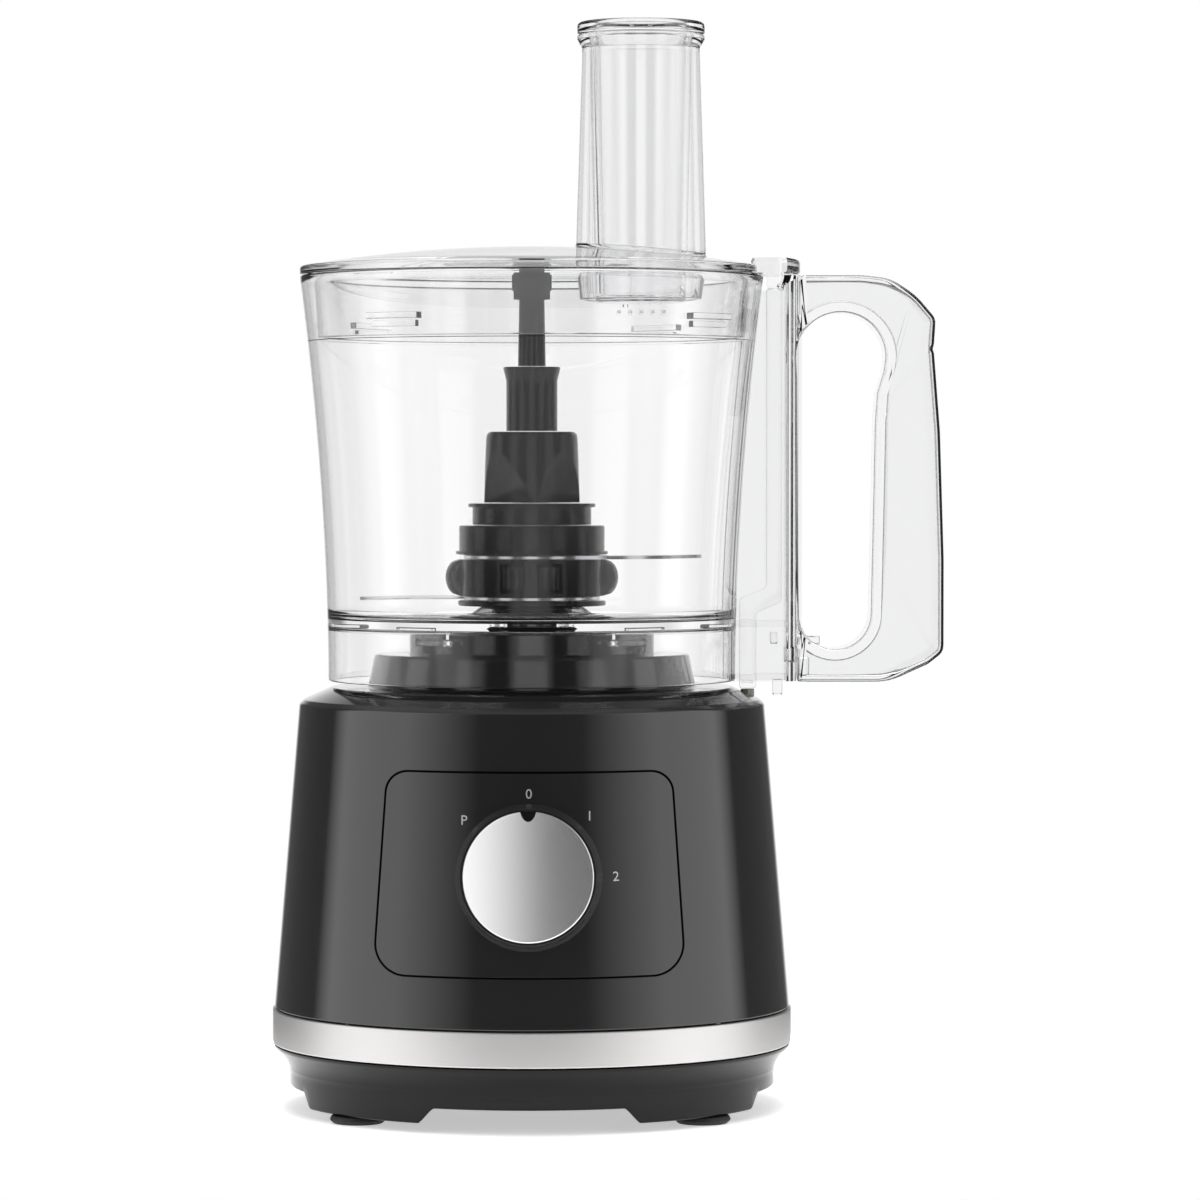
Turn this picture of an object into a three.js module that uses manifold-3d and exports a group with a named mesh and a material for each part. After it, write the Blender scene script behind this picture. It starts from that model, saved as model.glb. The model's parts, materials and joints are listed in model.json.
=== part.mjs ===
// A compact food processor. A round motor base carries a speed dial, a belt-driven spindle and a
// safety interlock. A clear bowl with a hollow handle twists onto it, a clear lid with a feed tube
// twists into the bowl, and a knife stack with two curved steel blades turns on the spindle.
// Sizes are in millimetres and Z is up. Every piece is built about the drive axis, X = Y = 0, with
// the table at Z = 0, and the whole is then moved so that its footprint is centred on the origin.
import * as THREE from "three";
import { mergeVertices } from "three/addons/utils/BufferGeometryUtils.js";
import Module from "manifold-3d";

const wasm = await Module();
wasm.setup();

// ---------------------------------------------------------------- driving dimensions
// Gaps
const seat = 0.3; // between pieces that rest on each other
const running = 0.6; // between pieces that turn or slide past each other

// Facets round a full turn
const bigRound = 28;
const midRound = 16;
const smallRound = 10;

// Motor base, from the table up
const footRadius = 10;
const footHeight = 3.2;
const footX = 60.5; // each foot's distance from the drive axis
const footY = 50;
const skirtInset = 6; // from the waist in to the skirt below it
const archHeight = 5.4; // of the arches between the feet
const archHalfWidth = 38.5;
const skirtHeight = 10.8;
const taperHeight = 9.8;
const waistRadius = 93.2;
const waistLip = 0.6; // of the band, beyond the housing above it
const bandHeight = 12.4;
const bandThickness = 2.6;
const housingHeight = 108.9;
const housingTopRadius = 83.6;
const shoulderInset = 11.6; // from the housing's top edge in to the flat shoulder
const shoulderRise = 6;
const wall = 3;
const plateThickness = 2.6;

// Raised platform that the bowl locks onto
const platformInset = 13; // from the shoulder's edge in to the platform
const platformTaper = 2.5;
const platformHeight = 12.3;
const tierInset = 12.5; // from the platform's top edge in to its upper step
const tierHeight = 9.4;
const baseLugDepth = 2.6;
const baseLugThickness = 2.2;
const lugAngle = 16; // degrees that each bayonet lug spans

// Bowl
const bowlOverhang = 1.2; // of the skirt, past the flat shoulder
const bowlRimRadius = 83.3;
const bowlDepth = 122.8;
const bowlWall = 2.4;
const bowlFloor = 2.6;
const bowlFlare = 1.85; // power of the wall's outward curve
const bowlLift = 2.3; // the skirt's height above the shoulder
const ledgeDepth = 23.1; // from the rim down to the ledge inside
const ledgeWidth = 0.8;
const chimneyRadius = 12.6;
const chimneyHeight = 16;
const chimneyWall = 2.2;
const shelfThickness = 2.2;
const shelfDrop = 14.4; // from the rim to the top of the locking shelves
const lockAngle = 20; // degrees that the lid and the bowl turn to unlock

// Handle, a hollow loop on a hollow column
const columnDepth = 11.3; // beyond the bowl's rim
const handleDepth = 53; // beyond the column
const handleWidth = 26;
const handleWall = 3.3;
const topBarHeight = 13;
const bottomBarHeight = 11.3;
const holeTopWidth = 32.2; // of the finger hole, from the column out to the grip
const holeMidWidth = 28.8;
const holeLowWidth = 26.5;

// Lid
const lidFlange = 3.1;
const lidDome = 7;
const lidWall = 2.2;
const lidSkirtGap = 2.87; // round the skirt's lower edge, inside the bowl
const lidSkirtWall = 2;
const lidSkirtDepth = 21.8;
const lidLugDepth = 2.4;
const tabDepth = 13.1; // beyond the bowl's rim
const tabThickness = 5.4;
const tubeOffset = 39.2;
const tubeBottomRadius = 23.4;
const tubeTopRadius = 21;
const tubeLipRadius = 22.9;
const tubeHeight = 82.8; // above the lid's flange
const tubeDrop = 11;
const tubeWall = 2;
const pusherGap = 0.7;
const pusherWall = 2;
const pusherTaper = 2;
const pusherDrop = 5; // how far it hangs below the tube
const pusherLip = 4.5;

// Interlock between lid, bowl and base
const interlockTravel = 3;
const rodFootHalf = 3.2; // half the width of the push rod's foot, over the button
const rodFootGap = 0.57; // between the rod's foot and the bowl's wall
const rodWidth = 6;
const camInset = 7.6; // from the column's outside in to the rod and the cam above it
const camHalfWidth = 2.6;
const camDepth = 3.7;

// Spindle and knife stack
const spindleRadius = 4;
const couplingRadius = 9;
const hubRadius = 26.6;
const hubLobe = 31.2;
const bladeThickness = 1.2;
const bladeTipGap = 11.2; // from a blade's tip to the bowl's skirt
const bladeGap = 4.6; // from the bowl's floor to the stack
const neckRadius = 9.2;
const sleeveRadius = 17.6;
const upperShaftRadius = 5;

// Drive train
const motorGap = 20; // from the drive axis to the motor's side
const pulleyGap = 6; // between the faces of the two pulleys
const motorPulleyRadius = 7;
const pulleyFlange = 2.3;
const beltWidth = 8;
const beltThickness = 2;
const statorRadius = 29;
const armatureRadius = 16.6;
const stackHeight = 40;
const motorShaftRadius = 3;
const chassisThickness = 3;
const bossInset = 14.2; // from the waist in to the screws
const bossAngle = 22; // degrees from the X axis to the nearest boss
const bossRadius = 4.6;
const screwRadius = 1.7;

// Dial and panel
const dialHeight = 89.2;
const dialLean = 0.275; // degrees that the dial leans back from the housing's front
const dialFaceRadius = 23.1;
const dialBaseRadius = 25.6;
const dialDepth = 17.4;
const dialCap = 2.4;
const panelTop = 125.3;
const panelBottom = 54.7;
const panelTopHalf = 49.5;
const panelBottomHalf = 54.3;
const panelCorner = 10.5;
const panelThickness = 1.5;

// ---------------------------------------------------------------- radii that follow from them
const skirtRadius = waistRadius - skirtInset;
const bossCircle = waistRadius - bossInset;
const shoulderRadius = housingTopRadius - shoulderInset;
const platformRadius = shoulderRadius - platformInset;
const platformTopRadius = platformRadius - platformTaper;
const tierRadius = platformTopRadius - tierInset;
const motorOffset = statorRadius + motorGap;
const spindlePulleyRadius = motorOffset - motorPulleyRadius - pulleyGap;
const bowlSkirtRadius = shoulderRadius + bowlOverhang;
const bladeReach = bowlSkirtRadius - bladeTipGap;
const columnReach = bowlRimRadius + columnDepth;
const handleReach = columnReach + handleDepth;
const gripTopX = columnReach + holeTopWidth;
const gripMidX = columnReach + holeMidWidth;
const gripLowX = columnReach + holeLowWidth;
const tabReach = bowlRimRadius + tabDepth;
const camRadius = columnReach - camInset;
const rodX = camRadius;

// ---------------------------------------------------------------- heights that follow from them
const plateZ = footHeight + archHeight + 0.4;
const plateTop = plateZ + plateThickness;
const skirtTop = footHeight + skirtHeight;
const bandZ = skirtTop + taperHeight;
const housingZ = bandZ + bandHeight + seat;
const housingTop = housingZ + housingHeight;
const shoulderZ = housingTop + shoulderRise;
const platformTop = shoulderZ + platformHeight;
const tierTop = platformTop + tierHeight;
const floorZ = tierTop + seat;
const floorTop = floorZ + bowlFloor;
const bowlBottom = shoulderZ + bowlLift;
const rimZ = floorTop + bowlDepth;
const ledgeZ = rimZ - ledgeDepth;
const lidZ = rimZ + seat;
const flangeTop = lidZ + lidFlange;
const domeTop = flangeTop + lidDome;
const tubeTop = flangeTop + tubeHeight;
const tubeBottom = flangeTop - tubeDrop;
const chassisZ = bandZ + bandHeight + 9.8;
const chassisTop = chassisZ + chassisThickness;
const beltZ = plateTop + 12;

// ---------------------------------------------------------------- the housing's and the bowl's walls
const housingSlope = (waistRadius - waistLip - housingTopRadius) / housingHeight;
const housingRadiusAt = (z) => waistRadius - waistLip - housingSlope * (z - housingZ);
const dialTilt = THREE.MathUtils.radToDeg(Math.atan(housingSlope)) + dialLean;
const bowlRadiusAt = (z) => bowlSkirtRadius +
  (bowlRimRadius - bowlSkirtRadius) * Math.max(0, (z - bowlBottom) / (rimZ - bowlBottom)) ** bowlFlare;
const lidSkirtRadius = bowlRadiusAt(rimZ - lidSkirtDepth) - bowlWall - lidSkirtGap;
const columnFloor = floorZ + 0.6;
const interlockX = bowlRadiusAt(columnFloor + 12) + rodFootGap + rodFootHalf;

// ---------------------------------------------------------------- materials
const finish = (color, roughness, metalness = 0, extra = {}) =>
  new THREE.MeshStandardMaterial({ color, roughness, metalness, ...extra });
const glossBlack = finish(0x1b1b1c, 0.12);
const satinBlack = finish(0x202021, 0.4);
const knifeBlack = finish(0x2b2b2c, 0.3);
const clearPlastic = finish(0xeef1f2, 0.03, 0, { transparent: true, opacity: 0.3 });
const silver = finish(0xc9c9ca, 0.3, 1);
const steel = finish(0xb9bcc0, 0.22, 1);
const rubber = finish(0x1f1f20, 0.85);
const beltRubber = finish(0x151515, 0.9);
const lamination = finish(0x6f7276, 0.5, 1);
const copper = finish(0xb36a3a, 0.35, 1);
const bronze = finish(0xa57b45, 0.4, 1);
const carbon = finish(0x2a2a2c, 0.7);
const whiteNylon = finish(0xdedbd2, 0.5);
const board = finish(0x2f6b3c, 0.5);

// ---------------------------------------------------------------- shape helpers
const radians = THREE.MathUtils.degToRad;
const root = new THREE.Group();
const assembly = new THREE.Group();
root.add(assembly);

function piece(name, geometry, material, parent = assembly) {
  const mesh = new THREE.Mesh(geometry, material);
  mesh.name = name;
  parent.add(mesh);
  return mesh;
}

// The solid turned about Z from [radius, height] points, given either way round. A profile that
// does not start and end on the axis is closed on itself.
function turned(profile, segments = bigRound) {
  const onAxis = profile[0][0] === 0 && profile.at(-1)[0] === 0;
  const loop = onAxis ? profile : [...profile, profile[0]];
  const area = loop.reduce((sum, [r, z], i) => {
    const [nextR, nextZ] = loop[(i + 1) % loop.length];
    return sum + r * nextZ - nextR * z;
  }, 0);
  const ordered = area > 0 ? loop : [...loop].reverse();
  const points = ordered.map(([r, z]) => new THREE.Vector2(r, z));
  return new THREE.LatheGeometry(points, segments).rotateX(Math.PI / 2);
}

const rod = (radius, z0, z1, segments = smallRound) =>
  turned([[0, z0], [radius, z0], [radius, z1], [0, z1]], segments);

const ring = (inner, outer, z0, z1, segments = bigRound) =>
  turned([[inner, z0], [outer, z0], [outer, z1], [inner, z1]], segments);

// An outline in X and Y, raised from z0 to z1.
function raised(shape, z0, z1, curveSegments = 12) {
  const options = { depth: z1 - z0, bevelEnabled: false, curveSegments };
  return new THREE.ExtrudeGeometry(shape, options).translate(0, 0, z0);
}

// An outline in X and Z, carried along Y from y0 to y1.
function across(shape, y0, y1, curveSegments = 12) {
  const options = { depth: y1 - y0, bevelEnabled: false, curveSegments };
  return new THREE.ExtrudeGeometry(shape, options).rotateX(Math.PI / 2).translate(0, y1, 0);
}

const block = (x0, x1, y0, y1, z0, z1) =>
  new THREE.BoxGeometry(x1 - x0, y1 - y0, z1 - z0)
    .translate((x0 + x1) / 2, (y0 + y1) / 2, (z0 + z1) / 2);

// Part of a ring, centred on a direction in degrees and spanning an angle in degrees.
function sector(inner, outer, direction, span, z0, z1, steps = 3) {
  const from = radians(direction - span / 2);
  const to = radians(direction + span / 2);
  const shape = new THREE.Shape();
  shape.absarc(0, 0, outer, from, to, false);
  shape.absarc(0, 0, inner, to, from, true);
  return raised(shape, z0, z1, steps);
}

function solidOf(geometry) {
  const bare = geometry.clone();
  bare.deleteAttribute("normal");
  bare.deleteAttribute("uv");
  const merged = mergeVertices(bare, 1e-4);
  const mesh = new wasm.Mesh({
    numProp: 3,
    vertProperties: merged.attributes.position.array,
    triVerts: new Uint32Array(merged.index.array),
  });
  return new wasm.Manifold(mesh);
}

function geometryOf(solid) {
  const mesh = solid.getMesh();
  return new THREE.BufferGeometry()
    .setAttribute("position", new THREE.BufferAttribute(mesh.vertProperties, mesh.numProp))
    .setIndex(new THREE.BufferAttribute(mesh.triVerts, 1));
}

const join = (first, ...others) =>
  geometryOf(others.reduce((all, next) => all.add(solidOf(next)), solidOf(first)));
const cut = (first, ...others) =>
  geometryOf(others.reduce((all, next) => all.subtract(solidOf(next)), solidOf(first)));
const overlap = (first, second) => geometryOf(solidOf(first).intersect(solidOf(second)));

const quarters = [0, 90, 180, 270];
const bosses = [bossAngle, 180 - bossAngle, 180 + bossAngle, 360 - bossAngle];
const place = (radius, direction) =>
  [radius * Math.cos(radians(direction)), radius * Math.sin(radians(direction))];

// ---------------------------------------------------------------- base: cover, feet and screws

function bottomCover() {
  const shell = turned([
    [0, plateZ], [skirtRadius - wall, plateZ],
    [skirtRadius - wall, footHeight], [skirtRadius, footHeight],
    [skirtRadius, skirtTop], [waistRadius - 0.2, bandZ - seat],
    [waistRadius - wall - 3, bandZ - seat], [skirtRadius - wall, skirtTop - 0.4],
    [skirtRadius - wall, plateTop], [0, plateTop],
  ]);
  const posts = bosses.map((direction) => {
    const [x, y] = place(bossCircle, direction);
    return rod(bossRadius, plateZ, chassisZ - seat).translate(x, y, 0);
  });
  const seats = feet.map(([x, y]) => rod(footRadius - 1.9, footHeight, plateTop).translate(x, y, 0));
  const reach = waistRadius + 10;
  const slope = archHeight; // the arches' ends rise at 45 degrees
  const arch = new THREE.Shape([
    [-archHalfWidth, footHeight - 1], [-archHalfWidth, footHeight],
    [-archHalfWidth + slope, footHeight + archHeight],
    [archHalfWidth - slope, footHeight + archHeight],
    [archHalfWidth, footHeight], [archHalfWidth, footHeight - 1],
  ].map(([x, z]) => new THREE.Vector2(x, z)));
  const arches = [
    across(arch, -reach, reach),
    across(arch, -reach, reach).rotateZ(Math.PI / 2),
  ];
  const screwHoles = bosses.flatMap((direction) => {
    const [x, y] = place(bossCircle, direction);
    return [
      rod(screwRadius + 0.4, 0, chassisZ + 1).translate(x, y, 0),
      rod(screwRadius + 2.1, 0, plateTop + 4).translate(x, y, 0),
    ];
  });
  const stemHoles = feet.map(([x, y]) =>
    rod(footStem + seat, 0, plateTop + 1, 8).translate(x, y, 0));
  const vents = [-2, -1, 0, 1, 2].map((i) =>
    block(i * 9 - 2.2, i * 9 + 2.2, 24, 52, plateZ - 1, plateTop + 1));
  return cut(join(shell, ...posts, ...seats), ...arches, ...screwHoles, ...stemHoles, ...vents);
}

const footStem = 3.2;
const feet = [[footX, footY], [-footX, footY], [-footX, -footY], [footX, -footY]];
const footNames = ["back_right", "back_left", "front_left", "front_right"];

piece("bottom_cover", bottomCover(), satinBlack);

footNames.forEach((corner, i) => {
  const [x, y] = feet[i];
  const foot = turned([
    [0, 1.2], [4.6, 1.2], [5.4, 0], [footRadius, 0], [footRadius, 0.8],
    [footRadius - 2, footHeight - seat], [footStem, footHeight - seat],
    [footStem, plateTop + 1.6], [0, plateTop + 1.6],
  ], 12);
  piece(`foot_${corner}`, foot.translate(x, y, 0), rubber);
});

footNames.forEach((corner, i) => {
  const [x, y] = place(bossCircle, bosses[i]);
  const head = plateTop + 4 - seat;
  const screw = turned([
    [0, head - 2.6], [screwRadius + 1.5, head - 2.6], [screwRadius + 1.7, head],
    [screwRadius, head], [screwRadius, chassisTop + 16], [0, chassisTop + 16],
  ], smallRound);
  piece(`cover_screw_${corner}`, screw.translate(x, y, 0), steel);
});

piece("trim_band", ring(waistRadius - bandThickness, waistRadius, bandZ, bandZ + bandHeight), silver);

// ---------------------------------------------------------------- base: housing and panel
// The panel's outline as seen from the front, grown by a margin on every side.
function panelOutline(margin) {
  const corner = panelCorner + margin;
  const [top, bottom] = [panelTop + margin, panelBottom - margin];
  const halfAt = (z) =>
    margin + panelTopHalf +
    (panelBottomHalf - panelTopHalf) * ((panelTop - z) / (panelTop - panelBottom));
  const shape = new THREE.Shape();
  shape.moveTo(-halfAt(bottom + corner), bottom + corner);
  shape.lineTo(-halfAt(top - corner), top - corner);
  shape.quadraticCurveTo(-halfAt(top), top, -halfAt(top) + corner, top);
  shape.lineTo(halfAt(top) - corner, top);
  shape.quadraticCurveTo(halfAt(top), top, halfAt(top - corner), top - corner);
  shape.lineTo(halfAt(bottom + corner), bottom + corner);
  shape.quadraticCurveTo(halfAt(bottom), bottom, halfAt(bottom) - corner, bottom);
  shape.lineTo(-halfAt(bottom) + corner, bottom);
  shape.quadraticCurveTo(-halfAt(bottom), bottom, -halfAt(bottom + corner), bottom + corner);
  return shape;
}

// The cone of the housing's outer face, shrunk by an inset, up to the shoulder's edge.
const housingCone = (inset) => turned([
  [0, housingZ], [housingRadiusAt(housingZ) - inset, housingZ],
  [housingRadiusAt(housingTop) - inset, housingTop], [0, housingTop],
]);

// The dial's axis starts on the housing's front face and looks out and slightly up.
const dialGroup = new THREE.Group();
dialGroup.position.set(0, -housingRadiusAt(dialHeight), dialHeight);
dialGroup.rotation.x = Math.PI / 2 - radians(dialTilt);
assembly.add(dialGroup);
const onDialAxis = (geometry) => {
  dialGroup.updateMatrix();
  return geometry.applyMatrix4(dialGroup.matrix);
};

const glandHeight = housingZ + 16;
const glandRadius = 5.8;
const glandFlange = 7;
const glandSeat = glandFlange * housingSlope + seat;
const onGlandAxis = (geometry) => geometry
  .rotateX(-Math.PI / 2)
  .translate(0, housingRadiusAt(glandHeight), glandHeight);

function baseHousing() {
  const inner = (z) => housingRadiusAt(z) - wall;
  const hole = spindleTubeRadius + 1.2;
  const shell = turned([
    [housingRadiusAt(housingZ), housingZ],
    [housingRadiusAt(housingTop - 1.2), housingTop - 1.2],
    [housingTopRadius - 1.2, housingTop + 0.3],
    [shoulderRadius, shoulderZ], [platformRadius, shoulderZ],
    [platformTopRadius, platformTop], [tierRadius, platformTop],
    [tierRadius, tierTop], [hole, tierTop],
    [hole, tierTop - wall], [tierRadius - wall, tierTop - wall],
    [tierRadius - wall, platformTop - wall],
    [platformTopRadius - wall, platformTop - wall],
    [platformRadius - wall - 0.4, shoulderZ - wall],
    [shoulderRadius - 0.6, shoulderZ - wall],
    [inner(housingTop - 2.4), housingTop - 2.4],
    [inner(housingZ), housingZ],
  ]);
  const lugs = quarters.map((direction) =>
    sector(tierRadius - 1, tierRadius + baseLugDepth, direction + 45, lugAngle,
      tierTop - 1 - baseLugThickness, tierTop - 1));
  const pillarTop = chassisTop + 24;
  const pillars = bosses.flatMap((direction) => {
    const [x, y] = place(bossCircle, direction);
    const reach = inner(pillarTop) + 1;
    return [
      rod(bossRadius, chassisTop + seat, pillarTop).translate(x, y, 0),
      block(bossCircle, reach, -1.5, 1.5, chassisTop + seat, pillarTop)
        .rotateZ(radians(direction)),
    ];
  });
  const pilots = bosses.map((direction) => {
    const [x, y] = place(bossCircle, direction);
    return rod(screwRadius + 0.4, chassisZ, chassisTop + 18).translate(x, y, 0);
  });
  const recess = cut(
    across(panelOutline(seat), -waistRadius - 5, 0),
    housingCone(panelThickness + seat),
  );
  return cut(join(shell, ...lugs, ...pillars), ...pilots, recess,
    onDialAxis(rod(dialShaftRadius + 1, -14, 5)),
    onGlandAxis(rod(glandRadius + seat, -10, 5)),
    rod(buttonRadius + 0.5, shoulderZ - 12, shoulderZ + 5).translate(interlockX, 0, 0),
    rod(buttonCollar + 0.5, chassisTop + 30, shoulderZ - 5).translate(interlockX, 0, 0));
}

const spindleTubeRadius = 11;
const dialShaftRadius = 3;
const buttonRadius = 2.4;
const buttonCollar = 3;
piece("base_housing", baseHousing(), glossBlack);

const panelBlank = overlap(
  across(panelOutline(0), -waistRadius - 5, 0),
  cut(housingCone(0), housingCone(panelThickness)),
);
piece("control_panel", cut(panelBlank, onDialAxis(rod(dialShaftRadius + 1, -14, 5))), glossBlack);

const gland = turned([
  [3.6, -wall - 2], [glandRadius, -wall - 2], [glandRadius, glandSeat], [glandFlange, glandSeat],
  [glandFlange, glandSeat + 0.9], [3.6, glandSeat + 0.9],
], midRound);
piece("cord_gland", onGlandAxis(gland), satinBlack);

// ---------------------------------------------------------------- dial
const capZ = dialDepth - dialCap;
const dialBody = turned([
  [dialShaftRadius + seat, 1.2], [dialBaseRadius - 3, 1.2], [dialBaseRadius - 0.4, 1.2],
  [dialBaseRadius, 2.4], [dialFaceRadius + 0.3, 5], [dialFaceRadius - 0.2, capZ - seat],
  [0, capZ - seat], [0, capZ - 3], [dialShaftRadius + seat, capZ - 3],
]);
piece("dial_body", dialBody, satinBlack, dialGroup);

const pointer = new THREE.Shape()
  .moveTo(-2.9, dialFaceRadius + 1)
  .lineTo(-2.9, dialFaceRadius - 1)
  .quadraticCurveTo(-2.4, dialFaceRadius - 3.2, 0, dialFaceRadius - 4.5)
  .quadraticCurveTo(2.4, dialFaceRadius - 3.2, 2.9, dialFaceRadius - 1)
  .lineTo(2.9, dialFaceRadius + 1);
const dialDisc = turned([
  [0, capZ], [dialFaceRadius, capZ], [dialFaceRadius, dialDepth - 0.6],
  [dialFaceRadius - 0.6, dialDepth], [0, dialDepth],
]);
piece("dial_face", cut(dialDisc, raised(pointer, capZ - 1, dialDepth + 1, 4)), silver, dialGroup);

const switchFront = -8;
const switchDepth = 19;
piece("dial_shaft", rod(dialShaftRadius, switchFront - 12, capZ - 3 - seat), steel, dialGroup);
const switchBody = cut(
  block(-15, 15, -15, 15, switchFront - switchDepth, switchFront),
  rod(dialShaftRadius + 0.5, switchFront - 13, switchFront + 1),
);
piece("rotary_switch", switchBody, whiteNylon, dialGroup);

// ---------------------------------------------------------------- drive train in the base
const pulley = (radius, bore, x, y) => turned([
  [bore, beltZ - 1.6], [radius + pulleyFlange, beltZ - 1.6],
  [radius + pulleyFlange, beltZ - 0.5], [radius, beltZ - 0.5],
  [radius, beltZ + beltWidth + 0.5], [radius + pulleyFlange, beltZ + beltWidth + 0.5],
  [radius + pulleyFlange, beltZ + beltWidth + 1.6], [bore, beltZ + beltWidth + 1.6],
], midRound).translate(x, y, 0);

// The loop round two circles on the Y axis, whose straight runs touch both.
function loopOutline(big, small, distance) {
  const lean = Math.asin((big - small) / distance);
  const shape = new THREE.Shape();
  shape.absarc(0, distance, small, lean, Math.PI - lean, false);
  shape.absarc(0, 0, big, Math.PI - lean, 2 * Math.PI + lean, false);
  return shape;
}
const beltOutline = loopOutline(
  spindlePulleyRadius + seat + beltThickness,
  motorPulleyRadius + seat + beltThickness, motorOffset);
beltOutline.holes.push(loopOutline(
  spindlePulleyRadius + seat, motorPulleyRadius + seat, motorOffset));
piece("drive_belt", raised(beltOutline, beltZ, beltZ + beltWidth, 18), beltRubber);

piece("spindle_pulley", pulley(spindlePulleyRadius, spindleRadius + seat, 0, 0), whiteNylon);
piece("motor_pulley", pulley(motorPulleyRadius, motorShaftRadius + seat, 0, motorOffset), steel);

const spindleTubeTop = tierTop - 1;
const bearingHeight = 12;
const spindleTube = turned([
  [spindleTubeRadius - 3, chassisTop + seat], [spindleTubeRadius + 9, chassisTop + seat],
  [spindleTubeRadius + 9, chassisTop + 4], [spindleTubeRadius, chassisTop + 4],
  [spindleTubeRadius, spindleTubeTop], [spindleTubeRadius - 3, spindleTubeTop],
], midRound);
piece("spindle_tube", spindleTube, lamination);
const bushing = (z0) => ring(
  spindleRadius + 0.1, spindleTubeRadius - 3 - seat, z0, z0 + bearingHeight, midRound);
piece("lower_bushing", bushing(chassisTop + 1), bronze);
piece("upper_bushing", bushing(spindleTubeTop - bearingHeight - 1), bronze);

function chassis() {
  const arms = [bossAngle, 180 - bossAngle].map((direction) =>
    block(-bossCircle - 6, bossCircle + 6, -9, 9, chassisZ, chassisTop)
      .rotateZ(radians(direction)));
  const plate = block(-statorRadius - 6, statorRadius + 6, -30, motorOffset + statorRadius - 4,
    chassisZ, chassisTop);
  const screwHoles = bosses.map((direction) => {
    const [x, y] = place(bossCircle, direction);
    return rod(screwRadius + 0.4, 0, chassisTop + 1).translate(x, y, 0);
  });
  return cut(join(plate, ...arms), ...screwHoles,
    rod(spindleRadius + 2, 0, chassisTop + 1, midRound),
    rod(motorBearingRadius + seat, 0, chassisTop + 1, midRound).translate(0, motorOffset, 0));
}
const motorBearingRadius = 8;
piece("chassis_plate", chassis(), lamination);

// Motor, which stands on the chassis behind the spindle
const motor = new THREE.Group();
motor.position.y = motorOffset;
assembly.add(motor);
const stackZ = chassisTop + 8;
const stackTop = stackZ + stackHeight;
const commutatorZ = stackTop + 8;
const commutatorHeight = 10;
const fanZ = commutatorZ + commutatorHeight + 1.5;
const bracketZ = fanZ + 7;
const commutatorRadius = 9;

piece("motor_stator",
  ring(armatureRadius + 1, statorRadius, stackZ, stackTop, midRound), lamination, motor);
const coil = (z0, z1) => turned([
  [armatureRadius + 2.4, z0], [statorRadius - 3, z0], [statorRadius - 3, z1],
  [armatureRadius + 2.4, z1],
], midRound);
piece("field_coil_lower", coil(chassisTop + 1.5, stackZ - seat), copper, motor);
piece("field_coil_upper", coil(stackTop + seat, stackTop + 6.5), copper, motor);

const armature = turned([
  [motorShaftRadius + seat, stackZ - 5], [armatureRadius - 4, stackZ - 5],
  [armatureRadius - 3, stackZ + 1], [armatureRadius, stackZ + 1],
  [armatureRadius, stackTop - 1], [armatureRadius - 3, stackTop - 1],
  [armatureRadius - 4, stackTop + 6], [motorShaftRadius + seat, stackTop + 6],
], midRound);
piece("armature", armature, copper, motor);
piece("commutator", ring(motorShaftRadius + seat, commutatorRadius, commutatorZ,
  commutatorZ + commutatorHeight, midRound), bronze, motor);

function coolingFan() {
  const hub = ring(motorShaftRadius + seat, 8, fanZ, fanZ + 6, midRound);
  const disc = ring(7, 25, fanZ, fanZ + 1.2, midRound);
  const vanes = [...Array(6).keys()].map((i) =>
    block(7, 24, -0.7, 0.7, fanZ + 0.5, fanZ + 6).rotateZ(radians(i * 60)));
  return join(hub, disc, ...vanes);
}
piece("cooling_fan", coolingFan(), whiteNylon, motor);
piece("motor_shaft", rod(motorShaftRadius, beltZ - 3, bracketZ + 6), steel, motor);

const motorBearing = (z0) => ring(motorShaftRadius + 0.1, motorBearingRadius, z0, z0 + 5, midRound);
piece("motor_bearing_lower", motorBearing(chassisZ - 1), steel, motor);
piece("motor_bearing_upper", motorBearing(bracketZ - 1), steel, motor);

const legX = statorRadius + 1.2;
const bracket = cut(
  join(
    block(-legX - 3, legX + 3, -11, 11, bracketZ, bracketZ + 3),
    block(-legX - 3, -legX, -11, 11, chassisTop + seat, bracketZ + 3),
    block(legX, legX + 3, -11, 11, chassisTop + seat, bracketZ + 3),
  ),
  rod(motorBearingRadius + seat, bracketZ - 2, bracketZ + 5, midRound),
);
piece("motor_bracket", bracket, lamination, motor);

const brushZ = commutatorZ + commutatorHeight / 2;
[["left", -1], ["right", 1]].forEach(([side, sign]) => {
  const brush = block(commutatorRadius + seat, 22, -2.6, 2.6, brushZ - 2, brushZ + 2);
  const holder = cut(
    block(commutatorRadius + 2, 25, -4.2, 4.2, brushZ - 3.6, brushZ + 3.6),
    block(commutatorRadius, 22 + seat, -2.6 - seat, 2.6 + seat, brushZ - 2 - seat, brushZ + 2 + seat),
  );
  const turn = sign > 0 ? 0 : Math.PI;
  piece(`carbon_brush_${side}`, brush.rotateZ(turn), carbon, motor);
  piece(`brush_holder_${side}`, holder.rotateZ(turn), whiteNylon, motor);
});

// Speed control board, on its edge beside the switch
piece("speed_board", block(-62, -60.4, -30, 14, chassisTop + 12, chassisTop + 52), board);

// ---------------------------------------------------------------- spindle and knife stack
piece("spindle_shaft", rod(spindleRadius, beltZ - 3, floorTop + chimneyHeight - 2, midRound), steel);
const coupling = cut(
  rod(couplingRadius, tierTop + 0.8, floorTop + chimneyHeight + 4, 6),
  rod(spindleRadius + seat, tierTop - 1, floorTop + chimneyHeight + 6, midRound),
);
piece("drive_coupling", coupling, satinBlack);

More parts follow.
